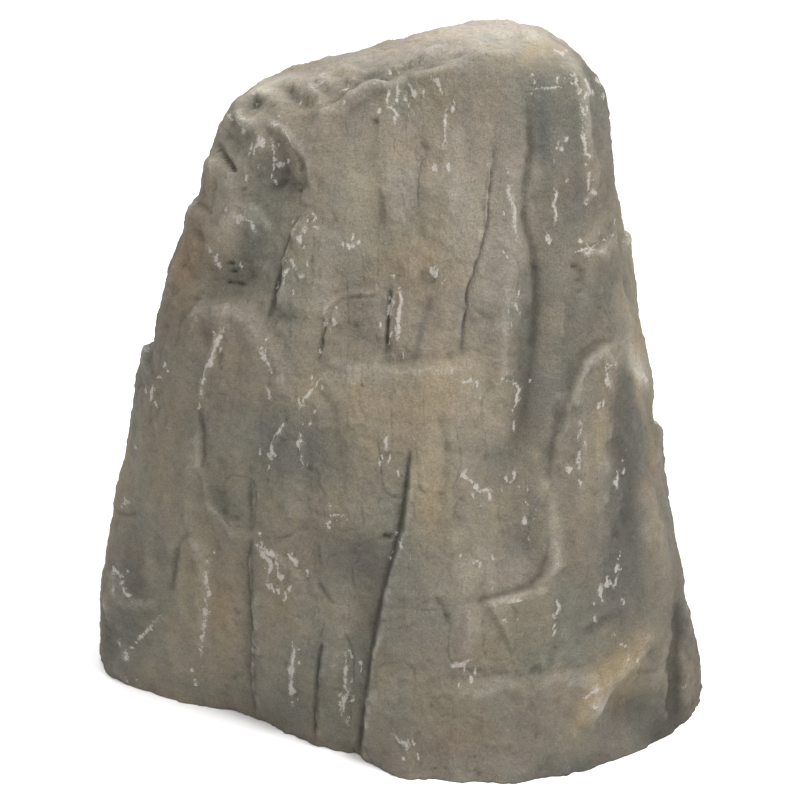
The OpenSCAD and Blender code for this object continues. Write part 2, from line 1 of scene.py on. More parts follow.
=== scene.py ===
import bpy
import json
import math
import numpy as np
from mathutils import Vector
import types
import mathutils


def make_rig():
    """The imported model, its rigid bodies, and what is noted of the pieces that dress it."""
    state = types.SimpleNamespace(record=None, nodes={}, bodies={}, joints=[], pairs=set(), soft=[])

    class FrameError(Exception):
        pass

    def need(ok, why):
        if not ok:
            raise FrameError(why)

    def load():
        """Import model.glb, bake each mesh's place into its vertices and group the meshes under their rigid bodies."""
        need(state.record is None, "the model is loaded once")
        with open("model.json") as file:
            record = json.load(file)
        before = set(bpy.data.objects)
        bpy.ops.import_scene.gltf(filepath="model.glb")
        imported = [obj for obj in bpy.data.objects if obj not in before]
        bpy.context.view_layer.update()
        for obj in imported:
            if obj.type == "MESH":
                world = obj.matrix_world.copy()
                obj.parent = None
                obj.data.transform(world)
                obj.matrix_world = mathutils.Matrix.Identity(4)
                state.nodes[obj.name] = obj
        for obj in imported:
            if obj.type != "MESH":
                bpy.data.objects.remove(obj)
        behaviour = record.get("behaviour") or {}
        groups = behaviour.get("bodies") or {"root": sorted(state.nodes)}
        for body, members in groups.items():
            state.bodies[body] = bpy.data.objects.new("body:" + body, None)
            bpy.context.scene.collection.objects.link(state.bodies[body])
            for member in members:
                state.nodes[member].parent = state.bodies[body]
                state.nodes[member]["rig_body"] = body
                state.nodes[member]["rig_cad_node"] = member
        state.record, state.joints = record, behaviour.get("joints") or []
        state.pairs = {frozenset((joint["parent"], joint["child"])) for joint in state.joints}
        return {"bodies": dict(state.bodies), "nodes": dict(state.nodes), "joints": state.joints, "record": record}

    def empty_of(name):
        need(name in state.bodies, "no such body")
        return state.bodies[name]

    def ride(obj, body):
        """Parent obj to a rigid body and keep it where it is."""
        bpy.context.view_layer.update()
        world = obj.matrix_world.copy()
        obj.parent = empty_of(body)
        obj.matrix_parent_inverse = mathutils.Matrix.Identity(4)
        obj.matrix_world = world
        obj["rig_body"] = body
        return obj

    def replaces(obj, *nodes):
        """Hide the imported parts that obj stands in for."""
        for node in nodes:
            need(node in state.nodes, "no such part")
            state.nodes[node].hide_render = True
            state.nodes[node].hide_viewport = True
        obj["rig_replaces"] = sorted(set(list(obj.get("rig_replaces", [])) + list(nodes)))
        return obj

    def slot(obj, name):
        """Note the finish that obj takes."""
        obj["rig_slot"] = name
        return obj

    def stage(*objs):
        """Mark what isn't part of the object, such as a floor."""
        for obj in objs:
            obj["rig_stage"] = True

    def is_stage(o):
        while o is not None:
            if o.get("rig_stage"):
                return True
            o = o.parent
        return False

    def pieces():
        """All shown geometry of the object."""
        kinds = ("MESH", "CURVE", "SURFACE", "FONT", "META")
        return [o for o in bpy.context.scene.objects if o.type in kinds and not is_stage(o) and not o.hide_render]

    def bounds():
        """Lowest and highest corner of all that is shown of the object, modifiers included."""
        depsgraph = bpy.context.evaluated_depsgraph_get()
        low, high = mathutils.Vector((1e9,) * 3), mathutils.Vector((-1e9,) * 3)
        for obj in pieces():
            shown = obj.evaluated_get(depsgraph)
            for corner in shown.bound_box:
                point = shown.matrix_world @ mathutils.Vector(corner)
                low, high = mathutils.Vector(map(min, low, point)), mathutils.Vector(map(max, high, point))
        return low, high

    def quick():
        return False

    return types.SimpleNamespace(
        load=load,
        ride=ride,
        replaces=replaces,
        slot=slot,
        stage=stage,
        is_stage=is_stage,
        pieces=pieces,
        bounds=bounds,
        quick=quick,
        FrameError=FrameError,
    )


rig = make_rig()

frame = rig.load()
bounds_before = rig.bounds()

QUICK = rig.quick()

# ---------------------------------------------------------------- rock form
# The same form as the CAD shell, in millimetres: plan radii every 15 degrees
# at five heights, a sloping crown, and relief laid out on a sight field, an
# 800 x 800 square seen from the eye point, x to the right and y down.
RING_Z = [0, 200, 400, 600, 780]
RING_R = np.array([
 [384,370,338,316,272,250,245,252,272,314,350,385,398,314,233,212,210,216,250,272,303,330,366,388],
 [344,328,312,300,262,243,240,245,264,302,328,354,366,322,262,232,222,218,236,250,272,302,336,352],
 [300,290,284,276,250,236,234,238,252,282,292,304,312,294,260,235,218,205,198,204,220,246,274,296],
 [258,248,240,232,222,216,214,216,221,232,240,246,248,236,212,188,166,146,138,144,162,192,228,254],
 [238,222,196,174,160,152,148,150,158,168,180,190,192,176,152,126,100,78,66,72,90,128,184,226]], float)
FLAT_Y, FLAT_T, WALL = 234.0, 10.0, 13.0
EYE_E, EYE_D, EYE_F, EYE_Z = math.radians(24), 2340.0, 1900.0, 378.0
EYE = np.array([0.0, -EYE_D * math.cos(EYE_E), EYE_Z + EYE_D * math.sin(EYE_E)])


def ss(x):
    c = np.clip(x, 0, 1)
    return c * c * (3 - 2 * c)


def spline(a, b, c, d, t):
    return 0.5 * (2*b + (c-a)*t + (2*a-5*b+4*c-d)*t*t + (3*b-a-3*c+d)*t*t*t)


def ring_at(k, th):
    a = (th % 360) / 15.0
    i = np.floor(a).astype(int)
    q = RING_R[k]
    return spline(q[(i+23) % 24], q[i % 24], q[(i+1) % 24], q[(i+2) % 24], a - i)


def col_r(q, z):
    out = np.zeros(np.broadcast(q[0], z).shape)
    for k in range(4):
        t = (z - RING_Z[k]) / (RING_Z[k+1] - RING_Z[k])
        b, c = q[k], q[k+1]
        a = 2*b - c if k == 0 else q[k-1]
        d = 2*c - b if k == 3 else q[k+2]
        v = spline(a, b, c, d, np.minimum(1, t)) + np.where(t > 1, (t-1)*(c-b), 0)
        m = (z < RING_Z[k+1]) if k == 0 else (z >= RING_Z[k]) if k == 3 else (z >= RING_Z[k]) & (z < RING_Z[k+1])
        out = np.where(m, v, out)
    return out


def crown(x, y):
    return (np.where(x < 95, 838 + (x-95)*0.25, 838 - np.maximum(x-95, 0)**3/56000)
            - 0.12*np.maximum(40-y, 0) - 0.0036*np.maximum(y-40, 0)**2)


def sight(p):
    d = p - EYE
    dz = d[..., 1]*math.cos(EYE_E) - d[..., 2]*math.sin(EYE_E)
    up = d[..., 1]*math.sin(EYE_E) + d[..., 2]*math.cos(EYE_E)
    return 400 + EYE_F*d[..., 0]/dz, 400 - EYE_F*up/dz


def near(u, v, pts):
    """distance, side and place along a line, all in the line's own units"""
    best = np.full(u.shape, 1e9)
    side = np.zeros(u.shape)
    at = np.zeros(u.shape)
    n = len(pts) - 1
    for k in range(n):
        ax, ay = pts[k]
        ex, ey = pts[k+1][0]-ax, pts[k+1][1]-ay
        l2 = ex*ex + ey*ey
        t = np.clip(((u-ax)*ex + (v-ay)*ey)/l2, 0, 1)
        d = np.hypot(u-ax-ex*t, v-ay-ey*t)
        m = d < best
        best = np.where(m, d, best)
        side = np.where(m, np.sign(ex*(v-ay) - ey*(u-ax)), side)
        at = np.where(m, (k+t)/n, at)
    return best, side, at


def fade(s, e):
    return ss(s/e)*ss((1-s)/e)


def form_h(f, u, v, out, soft=6.0):
    """adds one form's height to out, only where it reaches"""
    if f[0] == 0:
        reach = (np.abs(u-f[1][0]) < 3*f[2]) & (np.abs(v-f[1][1]) < 3*f[3])
        a, b = u[reach], v[reach]
        out[reach] += f[4]*np.exp(-((a-f[1][0])/f[2])**2 - ((b-f[1][1])/f[3])**2)
        return
    pts = f[1]
    r = 3.2*f[3] if f[0] == 1 else 4.5*f[3]
    xs, ys = [p[0] for p in pts], [p[1] for p in pts]
    reach = (u > min(xs)-r) & (u < max(xs)+r) & (v > min(ys)-r) & (v < max(ys)+r)
    a, b = u[reach], v[reach]
    if a.size == 0:
        return
    d, s, at = near(a, b, pts)
    if f[0] == 1:
        out[reach] += f[2]*np.exp(-(d/f[3])**2)*fade(at, f[4])
    else:
        x = d*s
        soft = f[5] if len(f) > 5 else soft
        out[reach] += f[2]*fade(at, f[4])*ss(x/soft+0.5)*np.where(x > 0, np.exp(-np.maximum(x, 0)/f[3]), 1)


FORMS = [
 [0,[276,180],26,32,-15],
 [2,[[303,198],[304,165],[296,147],[282,130],[266,121],[246,124]],7,20,0.3,12],
 [0,[212,166],22,26,9],
 [2,[[216,238],[225,216],[240,203],[256,208],[270,227],[284,256]],7,24,0.3,12],
 [0,[242,246],20,26,-6],
 [0,[252,100],13,8,-9],
 [2,[[268,312],[277,285],[291,241],[302,212]],9,60,0.2,5],
 [2,[[176,338],[202,311],[231,307],[253,315],[266,330],[284,358],[304,395]],11,30,0.3,18],
 [0,[224,372],48,52,8],
 [0,[236,278],42,24,-12],
 [1,[[322,312],[318,365]],-4,2,0.3],
 [1,[[391,284],[386,356]],-5,2.2,0.3],
 [0,[356,326],27,30,-8],
 [2,[[312,378],[333,371],[382,366],[440,361],[492,353]],8,40,0.2,16],
 [1,[[497,112],[491,161],[484,202],[485,230],[477,259],[468,287],[463,321],[461,354]],-4,1.8,0.2],
 [2,[[497,112],[491,161],[484,202],[485,230],[477,259],[468,287],[463,321],[461,354]],6,40,0.2,5],
 [1,[[411,440],[408,470],[404,504],[399,529],[388,573],[381,600],[375,627],[368,682],[361,733],[359,800]],-5,2.0,0.12],
 [2,[[359,800],[361,733],[368,682],[375,627],[381,600],[388,573],[399,529],[404,504],[408,470],[411,440]],11,80,0.15,8],
 [1,[[251,534],[252,595],[254,641],[255,720]],-4,1.7,0.15],
 [2,[[255,720],[254,641],[252,595],[251,534]],7,42,0.15,6],
 [1,[[322,636],[319,686],[316,745]],-4,1.8,0.2],
 [2,[[204,424],[204,468],[214,502],[236,524],[256,530]],6,40,0.3,12],
 [0,[238,492],30,34,-4],
 [0,[330,460],50,44,-9],
 [0,[122,604],36,60,7],
 [0,[104,580],16,28,8],
 [0,[204,166],12,16,5],
 [1,[[236,108],[246,122],[258,127],[270,120]],7,7,0.25],
 [0,[352,560],40,30,-6],
 [0,[585,205],24,26,-7],
 [0,[612,292],14,34,-6],
 [0,[188,214],11,20,5],
 [0,[172,276],10,15,4],
 [0,[160,322],28,42,12],
 [1,[[558,48],[568,64],[577,79],[581,108],[586,140],[590,190],[586,222]],6,9,0.2],
 [0,[542,132],17,42,-9],
 [1,[[543,150],[545,210],[540,300],[532,370],[525,430],[500,474]],-8,19,0.2],
 [2,[[572,254],[596,246],[622,228]],8,26,0.3,9],
 [2,[[548,490],[553,440],[562,414],[573,378],[585,355],[600,342],[616,341]],7,40,0.2,9],
 [1,[[617,360],[619,447],[633,480],[629,561]],-8,14,0.2],
 [0,[648,378],13,14,9],
 [0,[622,200],14,20,7],
 [2,[[476,604],[484,598],[509,592],[529,586],[540,574],[546,555],[551,528]],8,50,0.2,9],
 [2,[[425,684],[449,680],[527,677],[577,670],[604,659]],8,50,0.25,16],
 [1,[[660,618],[630,656],[602,691],[574,730]],10,12,0.2],
 [0,[640,708],28,24,-11],
 [1,[[676,600],[677,650],[677,730]],-12,6,0.25],
 [0,[702,655],20,52,16],
 [0,[440,420],42,90,7],
 [1,[[455,118],[452,190],[441,262]],4,9,0.3],
 [1,[[425,108],[419,190],[424,252]],-4,8,0.3],
 [1,[[512,150],[510,230],[503,330],[500,420]],5,10,0.25],
 [1,[[545,470],[551,520],[547,590]],6,12,0.25],
 [1,[[372,120],[375,200],[392,268],[394,300]],-4,10,0.25],
 [0,[345,330],26,26,-3],
 [1,[[196,528],[207,560],[207,597],[200,664]],5,9,0.2],
 [1,[[106,560],[131,598],[160,612]],6,8,0.25]]

# relief of the sides and back, on lines of [angle from +X in degrees, height]
SIDE_K = 4.5
SIDES = [
 [1,[[12,-30],[16,120],[8,230],[13,318]],-13,9,0.12],
 [2,[[13,318],[8,230],[16,120],[12,-30]],9,80,0.15],
 [2,[[40,340],[18,318],[-2,345],[-28,322]],12,70,0.2],
 [1,[[30,345],[26,430],[31,520],[28,600]],-11,9,0.2],
 [1,[[-6,345],[-2,450],[4,560],[0,700]],10,18,0.2],
 [2,[[38,575],[15,595],[-12,570]],10,60,0.25],
 [2,[[130,590],[110,618],[88,598],[66,622],[50,596]],12,70,0.2],
 [1,[[95,560],[99,660],[92,740],[97,820]],-11,9,0.15],
 [2,[[97,820],[92,740],[99,660],[95,560]],9,60,0.2],
 [1,[[68,620],[72,700],[66,800]],-10,8,0.2],
 [1,[[120,560],[116,660],[122,780]],10,18,0.2],
 [0,[80,690],60,60,-8],
 [1,[[165,-30],[160,110],[168,240],[162,360],[166,470]],-13,9,0.12],
 [2,[[166,470],[162,360],[168,240],[160,110],[165,-30]],10,80,0.15],
 [2,[[196,425],[176,442],[158,418],[136,438]],12,70,0.2],
 [2,[[190,640],[170,615],[148,642]],10,60,0.25],
 [1,[[145,60],[141,200],[147,330]],-10,9,0.2],
 [1,[[184,60],[188,180],[182,300]],10,18,0.2],
 [0,[150,540],70,60,-9],
 [0,[180,545],60,50,7],
 [1,[[42,-30],[46,140],[41,300],[45,440]],-10,9,0.15],
 [1,[[134,-30],[130,160],[137,330],[132,460]],-10,9,0.15],
 [0,[25,160],60,80,8],
 [0,[-5,140],50,80,-7]]


# ------------------------------------------------------- smooth 3-D noise
def hash3(i, j, k, seed):
    h = (i*374761393 + j*668265263 + k*2147483647 + seed*1274126177) & 0xFFFFFFFF
    h = ((h ^ (h >> 13)) * 1274126177) & 0xFFFFFFFF
    h = (h ^ (h >> 16)) & 0xFFFFFFFF
    return h / 4294967295.0


def noise(p, scale, seed, stretch=(1, 1, 1)):
    """value noise between -1 and 1"""
    q = p * (np.array(stretch) / scale)
    b = np.floor(q).astype(np.int64)
    f = q - b
    f = f*f*f*(f*(f*6-15)+10)
    x, y, z = f[..., 0], f[..., 1], f[..., 2]
    i, j, k = b[..., 0], b[..., 1], b[..., 2]
    c = [[[hash3(i+a, j+e, k+g, seed) for g in (0, 1)] for e in (0, 1)] for a in (0, 1)]
    l = [[c[0][e][g]*(1-x) + c[1][e][g]*x for g in (0, 1)] for e in (0, 1)]
    m = [l[0][g]*(1-y) + l[1][g]*y for g in (0, 1)]
    return (m[0]*(1-z) + m[1]*z)*2 - 1


def fbm(p, scale, seed, octaves=4, gain=0.5, stretch=(1, 1, 1)):
    out, a, s = 0, 1.0, scale
    for o in range(octaves):
        out = out + a*noise(p, s, seed+o*17, stretch)
        a *= gain
        s *= 0.5
    return out


def ridged(p, scale, seed, octaves=3, gain=0.5, stretch=(1, 1, 1)):
    out, a, s = 0, 1.0, scale
    for o in range(octaves):
        out = out + a*(1 - np.abs(noise(p, s, seed+o*31, stretch))*2)
        a *= gain
        s *= 0.5
    return out


# ----------------------------------------------------------- the rock skin
NCOL = 420 if QUICK else 680
NROW = 180 if QUICK else 350
NCAP = 26 if QUICK else 52
u = np.arange(NCOL)/NCOL
# columns stand closer together on the front (270 degrees)
TH = (270 + 360*(u-0.5) + 26*np.sin(2*np.pi*(u-0.5))*-1.0) % 360
order = np.argsort(TH)
TH = TH[order]
CT, ST = np.cos(np.radians(TH)), np.sin(np.radians(TH))
Q = [ring_at(k, TH) for k in range(5)]
RIM = np.full(TH.shape, 780.0)
for _ in range(9):
    r_ = col_r(Q, RIM)
    RIM = 0.5*RIM + 0.5*crown(r_*CT, r_*ST)


def rounded(A, at, n):
    """rows near the rim are averaged, so that the face rolls over into the crown"""
    w = np.exp(-((np.arange(len(A))-at)/(0.11*at))**2)[:, None, None]
    for _ in range(n):
        B = A.copy()
        B[1:-1] = 0.25*A[:-2] + 0.5*A[1:-1] + 0.25*A[2:]
        A = A + w*(B-A)
    return A


def base_rows(nrow, ncap, soft=0):
    P, D = [], []
    for j in range(nrow+1):
        t = j/nrow
        z = RIM*t
        r = col_r(Q, z)
        P.append(np.stack([r*CT, r*ST, z], -1))
        D.append(np.stack([CT, ST, np.full(CT.shape, 0.2 + 0.5*ss((t-0.93)/0.07))], -1))
    r = col_r(Q, RIM)
    for j in range(1, ncap):
        s = 1 - j/ncap
        x, y = 20+(r*CT-20)*s, 20+(r*ST-20)*s
        P.append(np.stack([x, y, crown(x, y)], -1))
        D.append(np.stack([CT*s*0.5, ST*s*0.5, np.ones(CT.shape)], -1))
    P.append(np.tile(np.array([20.0, 20.0, float(crown(np.array(20.0), np.array(20.0)))]), (len(CT), 1)))
    D.append(np.tile(np.array([0.0, 0.01, 1.0]), (len(CT), 1)))
    P, D = rounded(np.array(P), nrow, soft), rounded(np.array(D), nrow, soft)
    D /= np.linalg.norm(D, axis=-1, keepdims=True)
    return P, D


def relief(P, D, extra=(), n=0.0):
    v = EYE - P
    v /= np.linalg.norm(v, axis=-1, keepdims=True)
    face = ss((np.sum(v*D, -1)+0.15)/0.45)
    su, sv = sight(P)
    if len(extra):
        # edges wander a little, so that none is a plain stroke
        wu = 2.2*noise(P, 30, 401) + 1.3*noise(P, 11, 402)
        wv = 2.2*noise(P, 30, 403) + 1.3*noise(P, 11, 404)
        su, sv = su + wu, sv + wv
    h = np.zeros(su.shape)
    for f in FORMS:
        form_h(f, su, sv, h)
    if len(extra):
        # the fine forms are laid on the surface as the broad ones leave it
        fu, fv = sight(P + D*(face*h + n)[..., None])
        fu, fv = fu + 0.7*wu, fv + 0.7*wv
        for f in extra:
            form_h(f, fu, fv, h, soft=3.0)
    th = np.broadcast_to(np.where(TH < 270, TH, TH-360), su.shape)
    a, b = th*SIDE_K, P[..., 2]
    g = np.zeros(su.shape)
    for f in SIDES:
        q = list(f)
        q[1] = [f[1][0]*SIDE_K, f[1][1]] if f[0] == 0 else [[p[0]*SIDE_K, p[1]] for p in f[1]]
        form_h(q, a, b, g)
    return face*h, (1-face)*g, face, su, sv


def place(P, D, h, inner=False):
    lift = ss(P[..., 2]/60)
    k = 0.65 if inner else 1.0
    off = -WALL if inner else 0.0
    o = P.copy()
    o[..., 0] += D[..., 0]*(k*h + off)
    o[..., 1] += D[..., 1]*(k*h + off)
    capped = (D[..., 2] > 0.45)
    o[..., 2] += (D[..., 2]*k*h + np.where(capped & inner, off, 0))*lift
    m = np.where(P[..., 1] > 60, ss((275-np.abs(P[..., 0]))/60)*ss((565-P[..., 2])/115), 0)
    flat = FLAT_Y - (FLAT_T if inner else 0)
    o[..., 1] += m*(flat - o[..., 1])
    return o, m


# finer relief of the front: [kind, line, height, width, fade(, bevel)]
FINE = [
 [1,[[289,86],[294,101]],-3,3.4,0.3],
 [1,[[374,118],[376,142]],-1.5,2.5,0.3],
 [1,[[379,186],[382,226]],-1.5,2.8,0.3],
 [1,[[221,149],[228,164],[236,174]],-4,2.4,0.3],
 [2,[[240,114],[250,126],[262,121]],4,16,0.3,3],
 [1,[[190,528],[178,545],[172,592]],-3,2.4,0.25],
 [1,[[284,258],[276,290],[268,324]],-3,2.6,0.3],
 [2,[[251,545],[276,552],[301,572],[312,600]],4,34,0.3,6],
 [2,[[316,745],[319,686],[322,636]],5,24,0.2,4],
 [1,[[320,330],[325,308],[342,296],[366,292],[388,292]],5,4,0.2],
 [2,[[389,296],[366,297],[345,301],[331,312],[327,334]],-3,20,0.2,3],
 [1,[[324,356],[345,367],[372,364],[388,356]],4,6,0.25],
 [1,[[486,596],[472,628],[458,662]],4,8,0.3],
 [1,[[333,118],[352,103],[369,90],[401,82],[440,71],[470,62]],8,5,0.25],
 [1,[[300,98],[330,82],[365,68]],7,4.5,0.3],
 [1,[[318,108],[345,94],[372,76],[398,62]],-6,4,0.3],
 [1,[[395,70],[424,56],[446,44]],6,4,0.3],
 [1,[[372,88],[398,72],[420,62]],-5,3.5,0.3],
 [1,[[455,50],[490,56],[520,52]],6,4,0.3],
 [1,[[520,30],[540,44],[548,60]],5,5,0.3],
 [1,[[478,36],[500,41],[532,38]],-2,4,0.3],
 [0,[300,84],18,7,5],
 [0,[350,74],14,6,5],
 [0,[430,64],16,6,-5],
 [0,[470,42],20,6,5],
 [0,[572,72],12,12,5],
 [1,[[420,70],[446,57],[470,54]],-3,4,0.3],
 [1,[[300,128],[312,112],[334,92]],-3,5,0.3],
 [1,[[528,98],[531,150],[525,190],[524,218],[533,252],[536,300],[533,340],[530,362]],-3,3.6,0.15],
 [1,[[509,182],[513,210],[516,240]],3,3,0.25],
 [1,[[555,184],[552,210],[554,228]],3,3,0.25],
 [1,[[446,108],[443,150],[440,196]],2.5,4,0.25],
 [1,[[410,150],[412,190]],2.5,4,0.25],
 [1,[[433,290],[421,330],[410,372]],-1.6,3.2,0.25],
 [1,[[470,305],[484,316],[494,326]],-1.4,3,0.25],
 [1,[[400,286],[399,340]],3,3,0.25],
 [1,[[250,480],[252,528]],-2,3,0.25],
 [1,[[222,330],[212,352],[206,380],[199,404]],4,4,0.2],
 [1,[[200,404],[204,440],[203,470]],-3,2.6,0.25],
 [1,[[216,504],[228,516],[240,521]],-3,3,0.25],
 [1,[[284,424],[274,444],[270,462]],3,3,0.3],
 [1,[[298,430],[303,450],[302,470]],3,3,0.3],
 [1,[[296,640],[293,672],[292,704]],3,3,0.25],
 [1,[[352,620],[338,650],[330,700]],3,6,0.25],
 [1,[[318,582],[334,604]],-1.8,2.4,0.3],
 [1,[[348,648],[346,690],[344,716]],3,3,0.25],
 [1,[[432,590],[446,612],[452,634]],-2,4,0.3],
 [1,[[561,590],[556,640],[548,676]],-3,5,0.25],
 [1,[[438,410],[446,450],[440,540]],-2.5,5,0.25],
 [1,[[472,470],[466,520],[448,560]],3,7,0.25],
 [1,[[470,600],[466,640]],3,4,0.3],
 [1,[[604,250],[598,300],[586,342]],-3,7,0.25],
 [1,[[585,60],[596,84],[604,120]],-3,4,0.25],
 [1,[[586,420],[584,470],[580,500]],3,5,0.25],
 [1,[[606,364],[612,410],[606,450]],3,3,0.25],
 [1,[[575,640],[600,626],[620,612]],-3,5,0.25],
 [0,[429,273],9,9,-3],
 [1,[[421,268],[425,280],[434,281],[438,270],[432,264]],2.2,2,0.1],
 [0,[231,262],3.4,1.8,-5],[0,[234,271],3.6,1.6,-5],[0,[240,284],4.6,1.7,-5],[0,[228,283],2.4,1.6,-4],
 [0,[575,266],3,2,-4],[0,[583,270],2.4,2.4,-4],[0,[578,281],3,1.8,-4],[0,[588,262],2,3,-3],[0,[580,292],3,2,-4],
 [2,[[108,538],[118,566],[131,592],[152,606]],6,26,0.25,6],
 [1,[[246,126],[262,120],[276,124],[291,142],[299,164],[302,190]],4.5,6,0.2],
 [1,[[234,110],[243,121],[252,127],[260,120]],4,5,0.25],
 [0,[243,106],13,12,8],[0,[268,98],14,9,8],[1,[[254,94],[259,104],[256,112]],-3,4,0.3],
 [1,[[286,84],[290,92],[300,103],[316,107]],-4,5,0.3],
 [0,[308,92],15,9,7],[0,[330,86],10,6,5],[1,[[318,86],[322,93],[334,97]],-3,4,0.3],
 [0,[356,80],14,6,5],[1,[[340,80],[350,88],[366,88]],-3,4,0.3],
 [0,[392,70],18,7,5],[1,[[372,76],[388,82],[412,76]],-3,4,0.3],[0,[428,60],14,6,5],
 [1,[[310,118],[330,110],[352,101],[372,92],[392,86]],7,4,0.2],
 [0,[266,152],13,16,8],[0,[250,168],12,10,4],[1,[[262,190],[276,188],[288,176]],-5,4,0.3],
 [0,[222,128],9,12,8],[0,[209,160],8,12,9],[0,[200,184],7,10,8],[0,[212,184],6,12,-7],[0,[196,214],9,9,7],
 [0,[190,238],7,10,5],[1,[[192,226],[200,232],[204,246]],-4,3,0.3],[0,[172,300],7,12,5],
 [1,[[219,142],[224,156],[236,173]],-5,2.6,0.2],
 [1,[[206,170],[202,186],[205,202]],-4,3,0.3],[1,[[212,170],[207,190],[214,206]],3.5,3,0.3],
 [1,[[196,200],[206,208],[214,216]],-4,3,0.3],[0,[203,214],5,7,3],
 [0,[182,268],8,10,5],[1,[[178,262],[190,268],[196,282]],-3,3,0.3],
 [1,[[222,214],[234,203],[250,203],[264,216],[276,240]],3.2,4.5,0.2],
 [1,[[276,238],[283,252],[282,268]],2.6,3.5,0.3],
 [1,[[176,330],[202,307],[231,303],[250,309],[262,324]],3.2,5,0.2],
 [1,[[298,216],[292,232],[296,246],[303,232],[302,218]],2.4,2.6,0.2],
 [0,[196,300],5,2,-3],[0,[243,190],3.5,2,-3],[0,[300,192],2.5,2,-4],[0,[373,122],4,3,-4],
 [0,[387,536],6,2.6,-4],[0,[128,514],9,2.2,-4],
]


def crease(p, scale, seed, w, stretch=(1, 1, 1)):
    """thin lines, 1 on the line and 0 away from it"""
    return 1 - ss(np.abs(noise(p, scale, seed, stretch))/w)


def build():
    P, D = base_rows(NROW, NCAP, 60 if QUICK else 230)
    # rock texture in the solid: broad lumps, upright fluting, then grain
    some = ss((noise(P, 75, 81) + 0.5*noise(P, 30, 82) + 0.05)/0.5)
    n = (2.8*fbm(P, 130, 3, 2, 0.5, (1, 1, 0.5))
         + 3.0*fbm(P, 44, 7, 3, 0.5, (1, 1, 0.2))
         + 1.6*ridged(P, 36, 11, 3, 0.55, (1, 1, 0.5))
         + 1.1*fbm(P, 14, 29, 3, 0.6)
         - 1.7*some*crease(P, 38, 85, 0.07, (1, 1, 0.6))
         - 1.0*(1-some)*crease(P, 17, 86, 0.10, (1, 1, 0.7))
         + 0.55*noise(P, 5.2, 57) + 0.35*noise(P, 3.1, 58))
    h, g, face, su, sv = relief(P, D, FINE, n - 1.2)
    coarse = h + g
    total = coarse + n - 1.2
    o, m = place(P, D, total)
    # keep the flat rear almost flat
    return P, D, o, m, face, su, sv, coarse, n


P0, D0, OUT, FLATM, FACE, SU, SV, COARSE, NOI = build()


def blur(a, rr, rc):
    """box blur of a grid, wrapped round the columns"""
    k = 2*rc+1
    w = np.concatenate([a[:, -rc:], a, a[:, :rc]], 1)
    c = np.cumsum(np.concatenate([np.zeros((len(a), 1)), w], 1), 1)
    a = (c[:, k:] - c[:, :-k])/k
    k = 2*rr+1
    w = np.concatenate([np.repeat(a[:1], rr, 0), a, np.repeat(a[-1:], rr, 0)], 0)
    c = np.cumsum(np.concatenate([np.zeros((1, a.shape[1])), w], 0), 0)
    return (c[k:] - c[:-k])/k


HEIGHT = COARSE + NOI
K = 1 if QUICK else 1.6
CAV_S = (HEIGHT - blur(HEIGHT, round(3*K), round(3*K)))/1.6
CAV_M = (HEIGHT - blur(HEIGHT, round(9*K), round(9*K)))/4.0
CAV_L = (HEIGHT - blur(HEIGHT, round(26*K), round(26*K)))/9.0

rows = NROW + NCAP
OUT[..., 1] -= FLATM*0.8*(0.5+0.5*noise(P0, 22, 91))
OUT[0, :, 2] = 0
low = ss(1 - P0[..., 2]/14)
rag = noise(P0, 26, 71)*2.2 + noise(P0, 9, 72)*1.2
OUT[..., 0] += CT*rag*low*(1-FLATM)
OUT[..., 1] += ST*rag*low*(1-FLATM)


def skin_mesh():
    IP, ID = base_rows(26, 5)
    h, g, *_ = relief(IP, ID)
    inn, _ = place(IP, ID, h+g, inner=True)
    inn[0, :, 2] = 0
    irows = 26 + 5
    # outer grid without its last row, one tip, inner grid likewise
    vo = OUT[:rows].reshape(-1, 3)
    vi = inn[:irows].reshape(-1, 3)
    verts = np.concatenate([vo, OUT[rows][:1], vi, inn[irows][:1]])
    n = NCOL
    faces = []

    def quads(o, count, flip):
        j, i = np.meshgrid(np.arange(count-1), np.arange(n), indexing="ij")
        k = (i+1) % n
        a, b, c, d = o+j*n+i, o+j*n+k, o+(j+1)*n+k, o+(j+1)*n+i
        q = np.stack([a, b, c, d] if not flip else [a, d, c, b], -1)
        return q.reshape(-1, 4).tolist()

    faces += quads(0, rows, False)
    tip = rows*n
    faces += [[(rows-1)*n+i, (rows-1)*n+(i+1) % n, tip] for i in range(n)]
    o2 = tip+1
    faces += quads(o2, irows, True)
    tip2 = o2+irows*n
    faces += [[o2+(irows-1)*n+(i+1) % n, o2+(irows-1)*n+i, tip2] for i in range(n)]
    faces += [[(i+1) % n, i, o2+i, o2+(i+1) % n] for i in range(n)]
    me = bpy.data.meshes.new("rock_skin")
    me.from_pydata((verts/1000).tolist(), [], faces)
    me.validate()
    return me, tip+1


skin_me, n_outer = skin_mesh()
skin = bpy.data.objects.new("rock_skin", skin_me)
bpy.context.scene.collection.objects.link(skin)

# values carried by every outer point: small, middle and large hollows, front weight
flat_vals = [np.concatenate([a[:rows].reshape(-1), a[rows][:1]]) for a in (CAV_S, CAV_M, CAV_L, FACE, FLATM, SU, SV)]
outer_co = np.concatenate([OUT[:rows].reshape(-1, 3), OUT[rows][:1]])


# ---------------------------------------------- openings in the rear wall
def cutter(name, lo, hi):
    x0, y0, z0 = lo
    x1, y1, z1 = hi
    v = [(x, y, z) for x in (x0, x1) for y in (y0, y1) for z in (z0, z1)]
    f = [(0, 1, 3, 2), (4, 6, 7, 5), (0, 4, 5, 1), (2, 3, 7, 6), (0, 2, 6, 4), (1, 5, 7, 3)]
    me = bpy.data.meshes.new(name)
    me.from_pydata(v, [], f)
    return bpy.data.objects.new(name, me)


